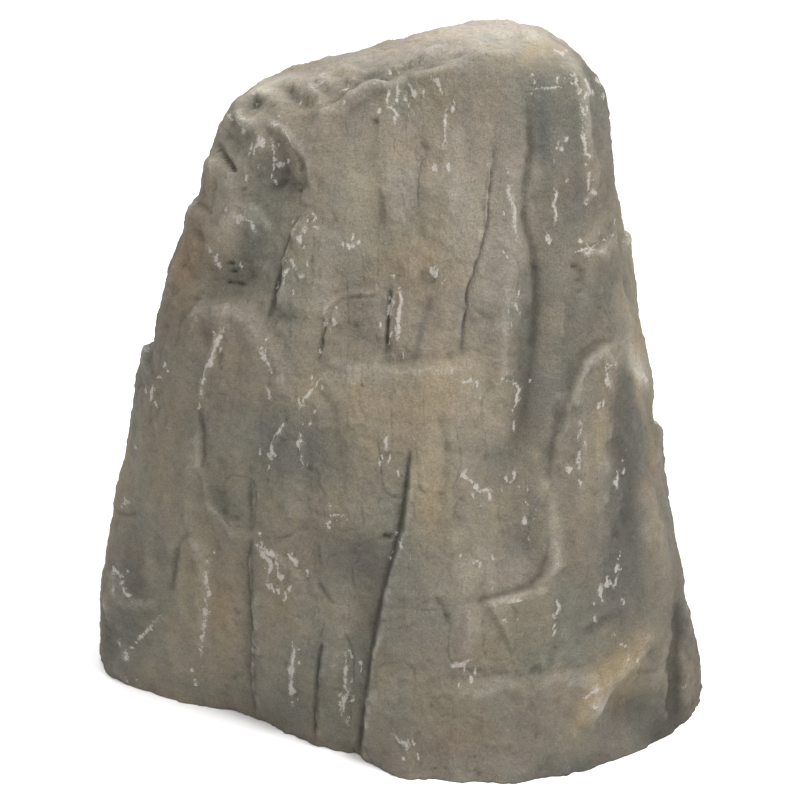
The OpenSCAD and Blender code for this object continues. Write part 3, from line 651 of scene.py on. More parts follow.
def cyl_cutter(name, x, z, r):
    n = 48
    v, f = [], []
    for y in (0.174, 0.264):
        for i in range(n):
            a = 2*math.pi*i/n
            v.append((x + r*math.cos(a), y, z + r*math.sin(a)))
    f.append(tuple(range(n)))
    f.append(tuple(reversed(range(n, 2*n))))
    f += [((i+1) % n, i, n+i, n+(i+1) % n) for i in range(n)]
    me = bpy.data.meshes.new(name)
    me.from_pydata(v, [], f)
    return bpy.data.objects.new(name, me)


cuts = [cutter("cut_hatch", (-0.170, 0.174, 0.065), (0.100, 0.264, 0.415)),
        cyl_cutter("cut_hose", 0.160, 0.095, 0.027),
        cyl_cutter("cut_gland", 0.160, 0.172, 0.0102)]
for c in cuts:
    bpy.context.scene.collection.objects.link(c)
    md = skin.modifiers.new(c.name, "BOOLEAN")
    md.operation = "DIFFERENCE"
    md.solver = "MANIFOLD"
    md.object = c
bpy.context.view_layer.update()
dg = bpy.context.evaluated_depsgraph_get()
cut_me = bpy.data.meshes.new_from_object(skin.evaluated_get(dg))
skin.modifiers.clear()
skin.data = cut_me
cut_me.name = "rock_skin"
bpy.data.meshes.remove(skin_me)
for c in cuts:
    me = c.data
    bpy.data.objects.remove(c)
    bpy.data.meshes.remove(me)
for m in list(cut_me.materials):
    pass

# -------------------------------------------------------------- paint
nv = len(cut_me.vertices)
co = np.zeros(nv*3, np.float32)
cut_me.vertices.foreach_get("co", co)
co = co.reshape(-1, 3).astype(float)*1000


# exact matches only: points that the cut left alone keep their place, and the rest count as inside
key = {}
rounded = np.round(outer_co, 2)
for i, p in enumerate(map(tuple, rounded)):
    key[p] = i
idx = np.full(nv, -1)
for i, p in enumerate(map(tuple, np.round(co, 2))):
    idx[i] = key.get(p, -1)
OUTER = idx >= 0
take = np.where(OUTER, idx, 0)
cav_s, cav_m, cav_l, face_w, flat_m, su0, sv0 = [np.where(OUTER, v[take], 0.0) for v in flat_vals]
print("skin points", nv, "outer", int(OUTER.sum()))

su, sv = sight(co)
face_w = np.where(OUTER, face_w, 0)


def srgb(r, g, b):
    c = np.array([r, g, b])/255.0
    return np.where(c <= 0.04045, c/12.92, ((c+0.055)/1.055)**2.4)


PAINT = {
 "base": srgb(133, 126, 111), "grey": srgb(120, 116, 104), "pale": srgb(164, 155, 138),
 "cream": srgb(204, 195, 178), "sand": srgb(152, 141, 118), "ochre": srgb(170, 151, 118),
 "tan": srgb(146, 128, 102), "rust": srgb(138, 118, 94), "pink": srgb(160, 143, 126),
 "slate": srgb(99, 97, 89), "blue": srgb(93, 94, 90), "dark": srgb(74, 69, 60),
 "moss": srgb(127, 124, 105)}
# washes on the front: [paint, x, y, half width, half height, lean in degrees, strength]
WASH = [
 # the pale and cream washes along the crown, here and further down, are partly paint and partly painted highlight where
 # the top takes the light
 ["cream",500,38,90,18,-6,0.45], ["pale",420,52,110,18,-13,0.9], ["pale",320,82,60,18,-14,0.7], ["cream",268,84,28,8,-8,0.9],
 ["cream",560,48,20,16,20,0.3], ["pale",345,98,60,6,-18,0.5],
 ["grey",252,100,15,8,0,0.7], ["grey",380,76,60,10,-20,0.4], ["base",470,70,50,14,-10,0.5],
 ["pale",262,128,22,12,20,0.45], ["slate",277,184,26,40,-8,0.75], ["slate",262,226,22,34,-30,0.5],
 ["pale",296,150,9,40,-12,0.35], ["rust",196,232,18,40,12,0.6], ["tan",222,214,22,22,0,0.35],
 ["slate",238,280,40,26,-12,0.5], ["pale",230,210,18,10,-20,0.3], ["grey",180,300,22,30,0,0.3],
 ["pale",244,318,40,9,8,0.3], ["pale",268,350,8,30,-30,0.25], ["grey",224,400,36,60,0,0.35],
 ["ochre",312,392,34,18,-24,0.45], ["slate",320,448,58,36,0,0.65], ["slate",282,432,22,30,0,0.35],
 ["moss",386,250,13,40,-22,0.5], ["base",352,326,26,26,0,0.3], ["grey",345,334,22,22,0,0.3],
 ["slate",320,345,6,36,0,0.4], ["slate",388,328,5,40,4,0.5], ["slate",270,306,7,40,10,0.45],
 ["pale",355,368,44,8,-2,0.3], ["ochre",366,420,28,46,-10,0.55], ["sand",400,398,80,34,-4,0.4],
 ["ochre",437,456,20,66,4,0.6], ["sand",470,390,40,40,0,0.5], ["sand",486,500,34,50,0,0.35],
 ["tan",430,262,46,24,0,0.35], ["sand",480,180,22,90,6,0.35], ["sand",440,160,30,70,0,0.25],
 ["grey",300,270,22,40,0,0.3], ["moss",342,240,24,50,0,0.35], ["grey",360,150,16,60,0,0.3],
 ["moss",332,500,60,30,0,0.3], ["slate",352,556,44,30,14,0.6], ["slate",380,640,18,80,8,0.45],
 ["slate",410,690,44,50,0,0.3], ["grey",420,610,50,50,0,0.3],
 ["sand",460,606,60,60,0,0.15], ["pink",472,630,9,38,14,0.75], ["sand",514,594,34,6,-14,0.35],
 ["grey",510,640,40,26,0,0.3], ["tan",490,660,24,20,0,0.3],
 ["pale",500,678,70,8,0,0.3], ["ochre",630,664,14,40,36,0.75], ["ochre",596,704,12,44,30,0.7],
 ["tan",640,600,28,50,0,0.35], ["slate",636,716,44,20,-18,0.6], ["dark",666,722,22,14,-30,0.5],
 # painted shadow: these two dark washes lie in the shaded crease behind the right front edge and on the rear lobe
 # behind it
 ["dark",690,664,15,60,0,0.85], ["dark",678,640,5,60,0,0.6],
 ["blue",543,128,12,52,0,0.8], ["blue",584,204,22,28,10,0.6], ["slate",560,214,14,30,0,0.5],
 ["slate",574,120,16,60,0,0.35], ["pale",604,238,26,8,-24,0.5], ["slate",610,290,16,44,8,0.7],
 ["tan",592,176,14,40,0,0.35], ["ochre",538,48,14,14,0,0.55], ["slate",530,330,12,60,4,0.4],
 ["slate",524,410,17,62,10,0.7], ["slate",500,470,20,26,50,0.6], ["slate",552,440,18,50,14,0.5],
 ["slate",545,400,26,44,8,0.35], ["sand",583,440,16,52,6,0.4], ["ochre",598,440,9,44,0,0.45],
 ["blue",627,420,13,60,-4,0.85], ["slate",624,500,14,60,0,0.55], ["cream",641,366,9,18,-20,0.75],
 ["ochre",638,350,10,16,0,0.6], ["pale",620,350,18,14,-30,0.35], ["tan",650,440,9,60,0,0.5],
 ["pale",630,316,9,24,-14,0.35], ["slate",612,560,30,40,10,0.4], ["slate",602,620,44,24,-20,0.5],
 ["moss",560,560,24,60,0,0.3], ["grey",600,500,14,50,0,0.3], ["slate",500,556,40,22,-20,0.35],
 ["slate",526,520,14,60,14,0.4],
 ["slate",118,630,26,30,0,0.7], ["dark",104,640,14,40,0,0.4], ["grey",180,470,30,60,-24,0.3],
 ["slate",212,490,16,36,-40,0.25], ["grey",150,400,26,60,0,0.3], ["slate",236,510,24,18,0,0.2],
 ["moss",180,580,40,50,0,0.3], ["sand",280,620,26,60,0,0.25], ["grey",220,690,50,16,12,0.4],
 ["slate",290,712,40,14,14,0.5], ["tan",270,570,20,30,0,0.3], ["sand",340,610,24,22,0,0.3],
 ["slate",250,620,5,90,0,0.4], ["slate",318,690,6,50,0,0.4], ["tan",470,740,60,20,0,0.35],
 ["dark",470,780,90,6,0,0.15], ["dark",300,735,60,6,14,0.35], ["sand",560,690,30,26,0,0.3],
 ["grey",440,736,60,24,0,0.3], ["slate",150,290,10,60,14,0.3], ["slate",205,330,24,8,0,0.3],
 ["pale",475,218,32,60,4,0.6], ["pale",430,176,60,44,0,0.3], ["sand",376,176,18,40,0,0.5],
 ["pale",322,292,20,50,0,0.4], ["pale",276,276,12,34,14,0.45], ["pale",222,228,18,22,0,0.3],
 ["tan",176,272,14,44,16,0.6], ["pale",478,566,30,32,0,0.6], ["pale",524,568,18,14,-14,0.5],
 ["sand",478,398,44,50,0,0.5], ["ochre",428,458,18,60,4,0.4], ["sand",378,690,12,44,6,0.5],
 ["slate",627,500,18,100,0,0.45], ["slate",574,345,20,60,6,0.45], ["slate",122,566,18,56,0,0.4],
 ["cream",495,32,84,14,-4,0.6], ["cream",262,132,20,10,20,0.2], ["ochre",226,628,16,48,0,0.35],
 ["tan",425,700,32,44,0,0.35], ["tan",692,660,12,44,0,0.35], ["dark",668,730,20,16,-30,0.5],
 ["dark",588,766,30,9,-10,0.5], ["slate",196,166,10,30,0,0.3], ["slate",624,170,12,34,0,0.4],
 ["rust",188,262,26,44,0,0.35], ["tan",212,340,40,50,0,0.28], ["tan",215,240,24,40,0,0.25],
 ["tan",160,420,24,60,0,0.2], ["tan",190,600,34,60,0,0.22], ["pale",240,140,30,30,0,0.25], ["pale",530,200,16,60,0,0.25],
 ["sand",440,470,26,40,0,0.25], ["pale",470,770,60,18,0,0.2], ["tan",225,575,24,60,0,0.2],
 ["slate",632,560,16,80,0,0.25], ["pale",500,240,40,80,0,0.22], ["slate",428,276,18,14,0,0.3], ["slate",575,90,12,50,0,0.3],
 ["tan",175,325,18,26,0,0.3], ["slate",175,328,16,20,0,0.3], ["slate",280,430,20,26,0,0.2], ["slate",125,600,24,60,0,0.25],
 ["slate",180,680,26,16,0,0.3], ["slate",300,700,60,30,0,0.2], ["slate",575,590,24,30,0,0.25], ["slate",628,560,16,60,0,0.25],
 ["dark",672,726,26,22,0,0.4], ["slate",570,776,44,18,0,0.35], ["slate",575,350,20,50,0,0.2], ["slate",630,430,14,50,0,0.25],
 ["sand",475,480,24,30,0,0.25], ["pale",380,176,26,26,0,0.2], ["pale",220,170,16,50,0,0.2], ["cream",642,372,9,20,-20,0.5], ["ochre",640,392,9,20,0,0.4], ["slate",112,600,20,50,0,0.2], ["slate",690,720,20,14,0,0.7], ["slate",672,690,16,40,0,0.35],
 ["slate",575,775,34,16,0,0.4], ["slate",628,420,12,60,0,0.3], ["slate",625,575,20,60,0,0.3], ["slate",600,90,14,50,0,0.35],
 ["slate",575,335,16,50,6,0.3], ["slate",290,690,30,26,0,0.2], ["pale",215,170,20,40,0,0.35], ["pale",230,225,26,18,0,0.3],
 ["slate",130,560,16,30,0,0.2], ["pale",520,215,22,60,0,0.25],
 ["pale",475,225,26,40,0,0.28], ["pale",525,250,15,44,0,0.38], ["pale",425,175,60,30,0,0.32],
 ["pale",225,225,20,20,0,0.28], ["pale",275,275,13,22,0,0.28], ["pale",325,300,22,20,0,0.22],
 ["pale",378,322,16,24,0,0.25], ["pale",475,400,30,36,0,0.28], ["pale",425,475,20,30,0,0.22],
 ["pale",375,525,24,26,0,0.28], ["pale",500,575,30,22,0,0.22], ["pale",400,678,24,26,0,0.22],
 ["pale",475,625,22,24,0,0.24], ["pale",475,778,50,16,0,0.32], ["ochre",625,675,20,24,30,0.3],
 ["cream",420,50,110,16,-12,0.2], ["slate",122,575,18,60,0,0.35], ["rust",175,325,20,30,0,0.3],
 ["slate",575,325,18,30,0,0.25], ["slate",625,175,12,26,0,0.3], ["slate",625,425,14,40,0,0.3],
 ["slate",625,550,18,44,0,0.38], ["slate",675,625,18,60,0,0.28], ["dark",675,728,20,16,0,0.3],
 ["slate",575,778,30,14,0,0.35], ["tan",675,675,18,30,0,0.3],
 ["pale",440,430,16,30,0,0.3], ["sand",190,350,30,24,0,0.2], ["slate",170,330,14,40,8,0.35]]
# painted shade: dark lines under edges and in cracks, where shade falls: [line, half width, strength]
SHADE_LINES = [
 [[[411,440],[408,470],[404,504],[399,529],[388,573],[381,600],[375,627],[368,682],[361,733],[359,760]],2.2,0.55],
 [[[497,112],[491,161],[484,202],[485,230],[477,259],[468,287],[463,321],[461,354]],1.8,0.3],
 [[[466,296],[463,321],[461,352]],2,0.5], [[[485,198],[485,230]],2.4,0.35],
 [[[251,534],[252,595],[254,641],[255,720]],1.9,0.5], [[[322,640],[319,686],[316,735]],2,0.5],
 [[[303,214],[291,243],[277,285],[268,322]],2.2,0.45], [[[391,286],[386,356]],2,0.5],
 [[[322,338],[319,364]],1.8,0.3], [[[178,545],[172,592]],2.4,0.4],
 [[[528,98],[531,150],[525,190],[524,218],[533,252],[536,300],[533,340],[526,400],[512,452]],4,0.35],
 [[[548,490],[553,440],[562,414],[573,378],[585,355],[600,342],[616,341]],2.6,0.3],
 [[[476,604],[484,598],[509,592],[529,586],[540,574],[546,555],[551,528]],2.4,0.35],
 [[[208,482],[216,504],[228,516],[240,521]],3,0.2], [[[677,600],[677,650],[676,720]],3.4,0.6],
 [[[289,86],[294,100]],2.6,0.3], [[[575,254],[596,246],[622,230]],3,0.25],
 [[[108,566],[131,602],[158,616]],3,0.3], [[[379,186],[382,226]],2.2,0.3], [[[374,118],[376,142]],2,0.25],
 [[[200,404],[204,440],[203,470]],2.6,0.3], [[[433,290],[421,330],[410,372]],3,0.18],
 [[[318,582],[334,604]],2.4,0.25], [[[421,268],[425,280],[434,281],[438,270]],2,0.5],
 [[[228,262],[235,263]],1.5,0.8], [[[231,271],[237,271]],1.4,0.8], [[[229,282],[236,282],[244,285]],1.5,0.85],
 [[[220,148],[224,156],[229,164],[236,173]],1.6,0.6],
 [[[572,264],[582,276],[586,290]],3,0.4], [[[118,514],[137,514]],2,0.5], [[[383,534],[392,538]],2.2,0.8],
 [[[470,305],[484,316],[494,326]],2.2,0.2], [[[250,480],[252,534]],2.2,0.3]]


def mix(a, b, t):
    return a + (b-a)*t[:, None]


# the field is bent a little so that no wash is a plain ellipse
bend_u = su + 7*noise(co, 60, 251) + 3.0*noise(co, 22, 252)
bend_v = sv + 7*noise(co, 60, 253) + 3.0*noise(co, 22, 254)
big = fbm(co, 150, 201, 3, 0.5, (1, 1, 0.6))
mid = fbm(co, 48, 211, 3, 0.55, (1, 1, 0.5))
strk = fbm(co, 24, 221, 3, 0.55, (1, 1, 0.14))
small = fbm(co, 9, 231, 3, 0.6)
tone = np.tile(PAINT["base"], (nv, 1))
# broad airbrushed drifts, stronger where the front washes do not reach
off = 1 - 0.55*face_w
tone = mix(tone, PAINT["grey"], ss((big+0.2)/0.9)*0.8*off)
tone = mix(tone, PAINT["sand"], ss((-big-0.05)/0.8)*0.7*off)
tone = mix(tone, PAINT["tan"], ss((mid*0.7-big*0.5-0.1)/0.8)*0.5*off)
tone = mix(tone, PAINT["slate"], ss((-mid-0.15)/0.9)*0.6*off)
tone = mix(tone, PAINT["ochre"], ss((strk-0.4)/0.9)*0.22)
tone = mix(tone, PAINT["moss"], ss((-strk-0.35)/0.8)*0.35)
front = ss(face_w/0.35)
for p, x, y, rx, ry, lean, s in WASH:
    a = math.radians(lean)
    dx, dy = bend_u-x, bend_v-y
    q = ((dx*math.cos(a)+dy*math.sin(a))/rx)**2 + ((-dx*math.sin(a)+dy*math.cos(a))/ry)**2
    w = np.exp(-q)*s*front*(0.95+0.3*mid)
    tone = mix(tone, PAINT[p], np.clip(w, 0, 1))
# painted shade: each line is darkened along a crack or under an edge
for pts, wd, s in SHADE_LINES:
    xs, ys = [q[0] for q in pts], [q[1] for q in pts]
    reach = ((su > min(xs)-5*wd) & (su < max(xs)+5*wd) & (sv > min(ys)-5*wd) & (sv < max(ys)+5*wd)
             & (face_w > 0.05))
    if reach.any():
        d, _, at = near(su[reach], sv[reach], pts)
        halo = 0.25 if max(xs)-min(xs)+max(ys)-min(ys) > 45 else 0.0
        w = (np.exp(-(d/wd)**2)*s + np.exp(-(d/(3.2*wd))**2)*s*halo)*fade(at, 0.08)
        tone[reach] = mix(tone[reach], PAINT["dark"]*0.7, np.clip(w*face_w[reach], 0, 1))
# edges: painted highlight along the top of a step or ridge and on the rims of a groove, partly the pale drybrushed
# edge; painted shade along the foot of a step or ridge and in a groove
torn = ss((fbm(co, 30, 261, 4, 0.65)+0.25)/0.9)
thin = 1 + 0.45*noise(co, 24, 265)
wand = 1.4*noise(co, 12, 266)
lit_all, shade_all = np.zeros(nv), np.zeros(nv)
for fs, a_, b_, gain in ((FORMS, su0, sv0, 1.0), (FINE, su, sv, 0.8)):
    for f in fs:
        if f[0] == 0:
            continue
        xs, ys = [q[0] for q in f[1]], [q[1] for q in f[1]]
        reach = ((a_ > min(xs)-22) & (a_ < max(xs)+22) & (b_ > min(ys)-22) & (b_ < max(ys)+22) & (face_w > 0.05))
        if not reach.any():
            continue
        d, sd, at = near(a_[reach], b_[reach], f[1])
        k = fade(at, 0.15)*face_w[reach]*gain
        t = torn[reach]
        d = np.maximum(0, (d + wand[reach])/thin[reach])
        if f[0] == 2:
            x = d*sd
            s = min(1.0, abs(f[2])/8)
            wb = 0.5*(f[5] if len(f) > 5 else 6)
            if f[2] < 0:
                x = -x
            lit = np.exp(-((x-wb-1.0)/3.4)**2)*s*0.36*t
            shade = np.exp(-((x+0.5*wb+1.0)/3.2)**2)*s*0.24
        elif f[2] > 0:
            s = min(1.0, f[2]/7)
            lit = np.exp(-(d/(0.7*f[3]))**2)*s*0.28*t
            shade = np.exp(-((d-1.5*f[3])/(0.8*f[3]))**2)*s*0.10
        else:
            s = min(1.0, -f[2]/6)
            lit = np.exp(-((d-2.0*f[3])/(0.9*f[3]))**2)*s*0.14*t
            shade = np.exp(-(d/(0.8*f[3]+0.6))**2)*s*0.24
        shade_all[reach] = np.maximum(shade_all[reach], shade*k)
        lit_all[reach] = np.maximum(lit_all[reach], lit*k)
tone = mix(tone, PAINT["dark"]*0.8, np.clip(shade_all, 0, 0.26))
tone = mix(tone, PAINT["cream"], np.clip(lit_all, 0, 0.24))
# painted shade: hollows are painted darker where shade falls in them, and high places are rubbed pale
dark = np.clip(ss(-cav_s*0.5)*0.15 + ss(-cav_m*0.5)*0.15 + ss(-cav_l*0.55)*0.19, 0, 0.5)
tone = mix(tone, PAINT["dark"], dark)
pale = np.clip(ss(cav_s*0.5-0.1)*0.10 + ss(cav_m*0.45-0.15)*0.13 + ss(cav_l*0.5-0.2)*0.11, 0, 0.34)
tone = mix(tone, PAINT["cream"], pale)
hue = fbm(co, 34, 271, 4, 0.65, (1, 1, 0.5))
hu2 = fbm(co, 52, 275, 3, 0.6)
tone *= (1 + 0.06*small + 0.03*strk)[:, None]*np.array([0.665, 0.67, 0.69])
tone *= 1 + hue[:, None]*np.array([0.026, 0.006, -0.036]) + hu2[:, None]*np.array([-0.016, 0.018, 0.004])
# inside: unpainted resin
tone[~OUTER] = srgb(96, 93, 85)

# off-white rubbed chips, on lines of the sight field
CHIPS = [
 [[259,135],[254,156]],[[270,138],[275,156]],[[268,117],[282,129],[296,147]],
 [[234,216],[250,222],[254,234]],[[312,211],[316,223]],[[298,236],[299,246]],
 [[223,328],[217,342],[204,375],[200,399]],[[258,348],[266,362],[274,375]],
 [[321,375],[312,392],[300,407]],[[284,424],[272,444],[270,460]],[[299,434],[302,467]],
 [[329,515],[347,517]],[[207,560],[207,597],[200,664]],[[161,615],[141,638],[125,652],[127,661]],
 [[558,51],[566,60]],[[572,70],[577,79],[579,92]],[[580,100],[583,122]],[[584,130],[586,150],[589,158]],[[588,170],[590,192]],[[587,79],[591,94]],
 [[535,89],[562,89]],[[509,184],[513,210],[516,239]],[[555,186],[555,223]],
 [[509,380],[521,389],[512,414]],[[462,380],[472,382]],[[573,252],[596,246],[619,230]],
 [[586,254],[595,245]],[[606,364],[610,390]],[[580,426],[579,448],[578,470]],
 [[462,470],[480,492],[492,490]],[[516,470],[510,482]],[[621,550],[614,589]],[[619,472],[616,488]],
 [[557,598],[559,614]],[[391,734],[404,742],[409,754]],[[410,84],[414,100]],[[432,76],[444,92]],
 [[396,84],[398,96]],[[348,648],[352,660]],[[345,690],[344,712]],[[262,547],[276,556]],
 [[600,585],[604,604]],[[616,640],[628,652]],[[584,700],[600,688]],[[452,668],[470,662]],
 [[640,372],[650,384]],[[428,265],[436,276]],[[384,438],[388,452]],[[510,300],[520,312]],
 [[560,140],[556,150]],[[596,66],[600,84]],
 [[263,136],[262,152]],[[276,160],[284,168]],[[252,94],[262,88]],[[226,112],[236,122]],
 [[294,266],[296,272]],[[218,254],[215,262]],[[288,268],[284,276]],[[247,246],[249,252]],
 [[132,430],[126,452],[122,470]],[[126,490],[122,510]],[[110,560],[120,578],[130,600]],
 [[258,548],[270,566],[268,590]],[[276,560],[282,584]],[[285,550],[294,560],[300,572]],
 [[294,640],[291,672],[292,704]],[[344,650],[346,684],[343,716]],
 [[400,290],[398,340]],[[446,108],[444,150]],
 [[166,360],[164,368]],[[153,385],[150,400]],[[340,92],[350,88]],[[312,88],[326,82]],
 [[388,108],[398,116]],[[392,296],[390,318]],[[326,318],[324,330]],[[398,540],[404,548]],
 [[470,560],[482,566]],[[506,604],[524,600]],[[536,500],[534,520]],[[346,240],[350,250]]]
chipw = np.zeros(nv)
wob_a, wob_b, wob_c = noise(co, 9, 341), noise(co, 9, 342), noise(co, 12, 343)
state = 7
flecks = []
for c in CHIPS:
    # small loose flecks round each rubbed place, mostly upright
    for _ in range(4):
        r4 = []
        for _ in range(4):
            state = (state*1103515245 + 12345) % 2147483648
            r4.append(state/2147483648)
        q = c[int(r4[0]*0.999*len(c))]
        x, y = q[0] + 22*(r4[1]-0.5), q[1] + 34*(r4[2]-0.5)
        flecks.append([[x, y], [x + 3*(r4[3]-0.5), y + 2 + 7*r4[0]]])
for c in CHIPS + flecks:
    small_one = len(c) == 2 and abs(c[0][0]-c[1][0]) < 3 and abs(c[0][1]-c[1][1]) < 10
    xs, ys = [p[0] for p in c], [p[1] for p in c]
    reach = (su > min(xs)-16) & (su < max(xs)+16) & (sv > min(ys)-16) & (sv < max(ys)+16) & (face_w > 0.05)
    if reach.any():
        d, _, at = near(su[reach]+2.6*wob_a[reach], sv[reach]+2.6*wob_b[reach], c)
        w = np.maximum(0.3, (1.3 if small_one else 2.0) + 1.7*wob_c[reach])
        chipw[reach] = np.maximum(chipw[reach], np.exp(-(d/w)**2)*(0.55+0.45*fade(at, 0.25))*ss((face_w[reach]-0.28)/0.25))
# the ridges and step edges of the sides and back are rubbed here and there
ang = np.degrees(np.arctan2(co[:, 1], co[:, 0])) % 360
ang = np.where(ang < 270, ang, ang-360)
for f in SIDES:
    if f[0] == 0 or (f[0] == 1 and f[2] < 0):
        continue
    d, _, at = near(ang*SIDE_K, co[:, 2], [[q[0]*SIDE_K, q[1]] for q in f[1]])
    w = np.exp(-((d-1)/3.2)**2)*ss((noise(co, 34, 331)+0.35*big-0.05)/0.35)*fade(at, 0.1)
    chipw = np.maximum(chipw, w*ss((0.2-face_w)/0.15)*0.66)
brk = fbm(co, 8, 301, 3, 0.6)
rub = ss((cav_s*0.5 + cav_m*0.32 + 0.5*brk + 0.25*big - 1.3)/0.5)*0.42
chip = chipw*(1.0+0.35*brk)
chip = np.clip(np.maximum(chip, rub), 0, 1.2)*np.where(OUTER, 1, 0)*(1-flat_m*0.8)

attr = cut_me.color_attributes.new("tone", "FLOAT_COLOR", "POINT")
attr.data.foreach_set("color", np.concatenate([tone, np.ones((nv, 1))], 1).astype(np.float32).ravel())
a2 = cut_me.attributes.new("chip", "FLOAT", "POINT")
a2.data.foreach_set("value", chip.astype(np.float32))
cut_me.polygons.foreach_set("use_smooth", np.ones(len(cut_me.polygons), bool))
cut_me.update()


# ---------------------------------------------------------- materials
def new_mat(name):
    m = bpy.data.materials.new(name)
    m.use_nodes = True
    nt = m.node_tree
    b = nt.nodes["Principled BSDF"]
    return m, nt, b


def add(nt, kind, **kw):
    n = nt.nodes.new(kind)
    for k, v in kw.items():
        setattr(n, k, v)
    return n


def noise_node(nt, coord, scale, detail=3, rough=0.55):
    n = add(nt, "ShaderNodeTexNoise")
    n.inputs["Scale"].default_value = scale
    n.inputs["Detail"].default_value = detail
    n.inputs["Roughness"].default_value = rough
    nt.links.new(coord, n.inputs["Vector"])
    return n


def stone_mat(name, attributes=True, base=(0.30, 0.275, 0.22)):
    m, nt, b = new_mat(name)
    tc = add(nt, "ShaderNodeTexCoord")
    obj = tc.outputs["Object"]
    L = nt.links.new
    if attributes:
        at = add(nt, "ShaderNodeAttribute", attribute_name="tone")
        colour = at.outputs["Color"]
    else:
        n0 = noise_node(nt, obj, 14, 5, 0.6)
        r0 = add(nt, "ShaderNodeValToRGB")
        r0.color_ramp.elements[0].position = 0.3
        r0.color_ramp.elements[0].color = (base[0]*0.72, base[1]*0.74, base[2]*0.78, 1)
        r0.color_ramp.elements[1].position = 0.7
        r0.color_ramp.elements[1].color = (base[0]*1.18, base[1]*1.12, base[2]*1.02, 1)
        L(n0.outputs["Fac"], r0.inputs["Fac"])
        colour = r0.outputs["Color"]
    # sandy speckle
    sp = noise_node(nt, obj, 480, 4, 0.75)
    rr = add(nt, "ShaderNodeMapRange")
    rr.inputs["From Min"].default_value = 0.3
    rr.inputs["From Max"].default_value = 0.7
    rr.inputs["To Min"].default_value = 0.70
    rr.inputs["To Max"].default_value = 1.30
    L(sp.outputs["Fac"], rr.inputs["Value"])
    mul = add(nt, "ShaderNodeVectorMath", operation="SCALE")
    L(colour, mul.inputs[0])
    L(rr.outputs["Result"], mul.inputs["Scale"])
    out = mul.outputs["Vector"]
    if attributes:
        ca = add(nt, "ShaderNodeAttribute", attribute_name="chip")
        cn = noise_node(nt, obj, 330, 6, 0.78)
        # the flaking edge is torn by the noise
        ne = add(nt, "ShaderNodeMapRange")
        ne.inputs["From Min"].default_value = 0.34
        ne.inputs["From Max"].default_value = 0.66
        ne.inputs["To Max"].default_value = -1.10
        L(cn.outputs["Fac"], ne.inputs["Value"])
        add1 = add(nt, "ShaderNodeMath", operation="MULTIPLY_ADD")
        add1.inputs[1].default_value = 1.15
        L(ca.outputs["Fac"], add1.inputs[0])
        L(ne.outputs["Result"], add1.inputs[2])
        th = add(nt, "ShaderNodeMapRange")
        th.inputs["From Min"].default_value = -0.06
        th.inputs["From Max"].default_value = 0.34
        th.inputs["To Max"].default_value = 0.78
        L(add1.outputs["Value"], th.inputs["Value"])
        mx = add(nt, "ShaderNodeMix", data_type="RGBA")
        mx.inputs["B"].default_value = (0.40, 0.375, 0.34, 1)
        L(th.outputs["Result"], mx.inputs["Factor"])
        L(out, mx.inputs["A"])
        out = mx.outputs["Result"]
    L(out, b.inputs["Base Color"])
    b.inputs["Roughness"].default_value = 0.88
    b.inputs["Specular IOR Level"].default_value = 0.25
    g1 = noise_node(nt, obj, 210, 6, 0.72)
    g2 = noise_node(nt, obj, 1100, 2, 0.6)
    ad = add(nt, "ShaderNodeMath", operation="MULTIPLY_ADD")
    ad.inputs[1].default_value = 0.35
    L(g2.outputs["Fac"], ad.inputs[0])
    L(g1.outputs["Fac"], ad.inputs[2])
    bm = add(nt, "ShaderNodeBump")
    bm.inputs["Strength"].default_value = 0.9
    bm.inputs["Distance"].default_value = 0.0042
    L(ad.outputs["Value"], bm.inputs["Height"])
    L(bm.outputs["Normal"], b.inputs["Normal"])
    return m


def plain_mat(name, colour, rough, metallic=0.0, grain=0.0, grain_scale=600, spec=0.4):
    m, nt, b = new_mat(name)
    tc = add(nt, "ShaderNodeTexCoord")
    L = nt.links.new
    n = noise_node(nt, tc.outputs["Object"], 60, 4, 0.6)
    rp = add(nt, "ShaderNodeValToRGB")
    rp.color_ramp.elements[0].position = 0.3
    rp.color_ramp.elements[1].position = 0.75
    rp.color_ramp.elements[0].color = tuple(c*0.86 for c in colour) + (1,)
    rp.color_ramp.elements[1].color = tuple(min(1, c*1.12) for c in colour) + (1,)
    L(n.outputs["Fac"], rp.inputs["Fac"])
    L(rp.outputs["Color"], b.inputs["Base Color"])
    b.inputs["Roughness"].default_value = rough
    b.inputs["Metallic"].default_value = metallic
    b.inputs["Specular IOR Level"].default_value = spec
    if grain:
        g = noise_node(nt, tc.outputs["Object"], grain_scale, 2, 0.6)
        bm = add(nt, "ShaderNodeBump")
        bm.inputs["Strength"].default_value = 0.5
        bm.inputs["Distance"].default_value = grain
        L(g.outputs["Fac"], bm.inputs["Height"])
        L(bm.outputs["Normal"], b.inputs["Normal"])
    return m


ROCK = stone_mat("rock_stone")
DOOR = stone_mat("door_stone", attributes=False)
METAL = plain_mat("stainless_mat", (0.50, 0.50, 0.48), 0.36, 1.0)
BLACK = plain_mat("latch_plastic", (0.035, 0.035, 0.037), 0.42, grain=0.0002)
RUBBER = plain_mat("black_rubber", (0.022, 0.022, 0.022), 0.75)
FRAME = plain_mat("frame_plastic", (0.085, 0.088, 0.080), 0.6, grain=0.0003)
GLAND = plain_mat("gland_plastic", (0.055, 0.056, 0.06), 0.45, grain=0.0002)
RESIN = plain_mat("bare_resin", (0.16, 0.165, 0.155), 0.7, grain=0.0004, grain_scale=300)

cut_me.materials.clear()
cut_me.materials.append(ROCK)
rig.ride(skin, "rock")
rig.replaces(skin, "rock_shell")
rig.slot(skin, "rock")

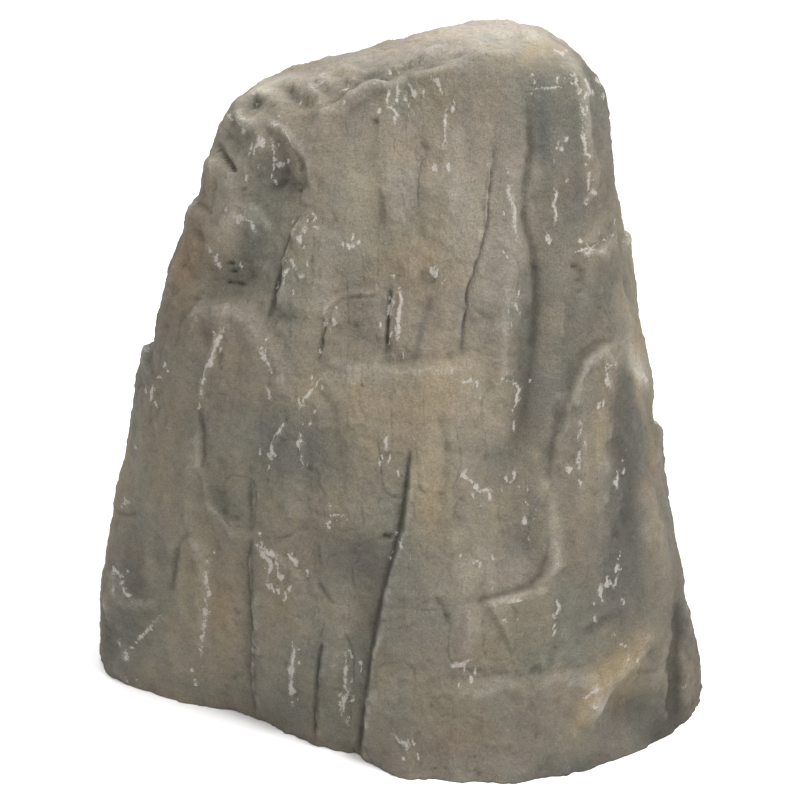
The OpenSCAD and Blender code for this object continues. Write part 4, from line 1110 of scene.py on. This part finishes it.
USE = {
 "base_flange": RESIN, "foot_pads": RUBBER, "hatch_frame": FRAME, "hatch_seal": RUBBER,
 "hatch_door": DOOR, "latch_body": BLACK, "latch_knob": BLACK, "vent_grille": FRAME,
 "hose_grommet": RUBBER, "cable_gland_body": GLAND, "cable_gland_cap": GLAND,
 "cable_gland_seal": RUBBER, "cable_gland_locknut": GLAND}
for name, o in frame["nodes"].items():
    mat = USE.get(name, METAL)
    if name == "rock_shell":
        mat = ROCK
    o.data.materials.clear()
    o.data.materials.append(mat)

# ------------------------------------------------------------- studio
me = bpy.data.meshes.new("floor")
s = 14.0
me.from_pydata([(-s, -s, -0.0006), (s, -s, -0.0006), (s, s, -0.0006), (-s, s, -0.0006)], [], [(0, 1, 2, 3)])
floor = bpy.data.objects.new("floor", me)
bpy.context.scene.collection.objects.link(floor)
fm, fnt, fb = new_mat("floor_white")
fb.inputs["Base Color"].default_value = (0.95, 0.95, 0.95, 1)
fb.inputs["Roughness"].default_value = 0.9
me.materials.append(fm)
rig.stage(floor)

world = bpy.data.worlds.new("studio")
bpy.context.scene.world = world
world.use_nodes = True
bg = world.node_tree.nodes["Background"]
bg.inputs["Color"].default_value = (1.0, 1.0, 1.0, 1)
bg.inputs["Strength"].default_value = 1.0


def area(name, pos, target, size, power, colour=(1, 1, 1)):
    l = bpy.data.lights.new(name, "AREA")
    l.energy = power
    l.size = size
    l.color = colour
    o = bpy.data.objects.new(name, l)
    o.location = pos
    d = Vector(target) - Vector(pos)
    o.rotation_euler = d.to_track_quat("-Z", "Y").to_euler()
    bpy.context.scene.collection.objects.link(o)
    return o


area("key", (1.0, -0.9, 2.9), (0, 0, 0.4), 0.9, 100)
area("fill", (-1.8, -2.2, 1.2), (0, 0, 0.4), 1.6, 6)
area("back", (-0.9, 1.9, 2.2), (0, 0, 0.4), 1.4, 36)

cam = bpy.data.cameras.new("camera")
co_ = bpy.data.objects.new("camera", cam)
bpy.context.scene.collection.objects.link(co_)
bpy.context.scene.camera = co_
E, D = EYE_E, EYE_D/1000
co_.location = (0, -D*math.cos(E), EYE_Z/1000 + D*math.sin(E))
co_.rotation_euler = (math.pi/2 - E, 0, 0)
cam.sensor_width = 36
cam.lens = 36*EYE_F/800
cam.clip_end = 60
bpy.context.scene.view_settings.view_transform = "Standard"

bounds_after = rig.bounds()
try:
    json.dump({"before": [list(map(float, v)) for v in bounds_before], "after": [list(map(float, v)) for v in bounds_after]}, open("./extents.json", "w"))
except Exception as e:
    print("bounds", bounds_before, bounds_after, e)
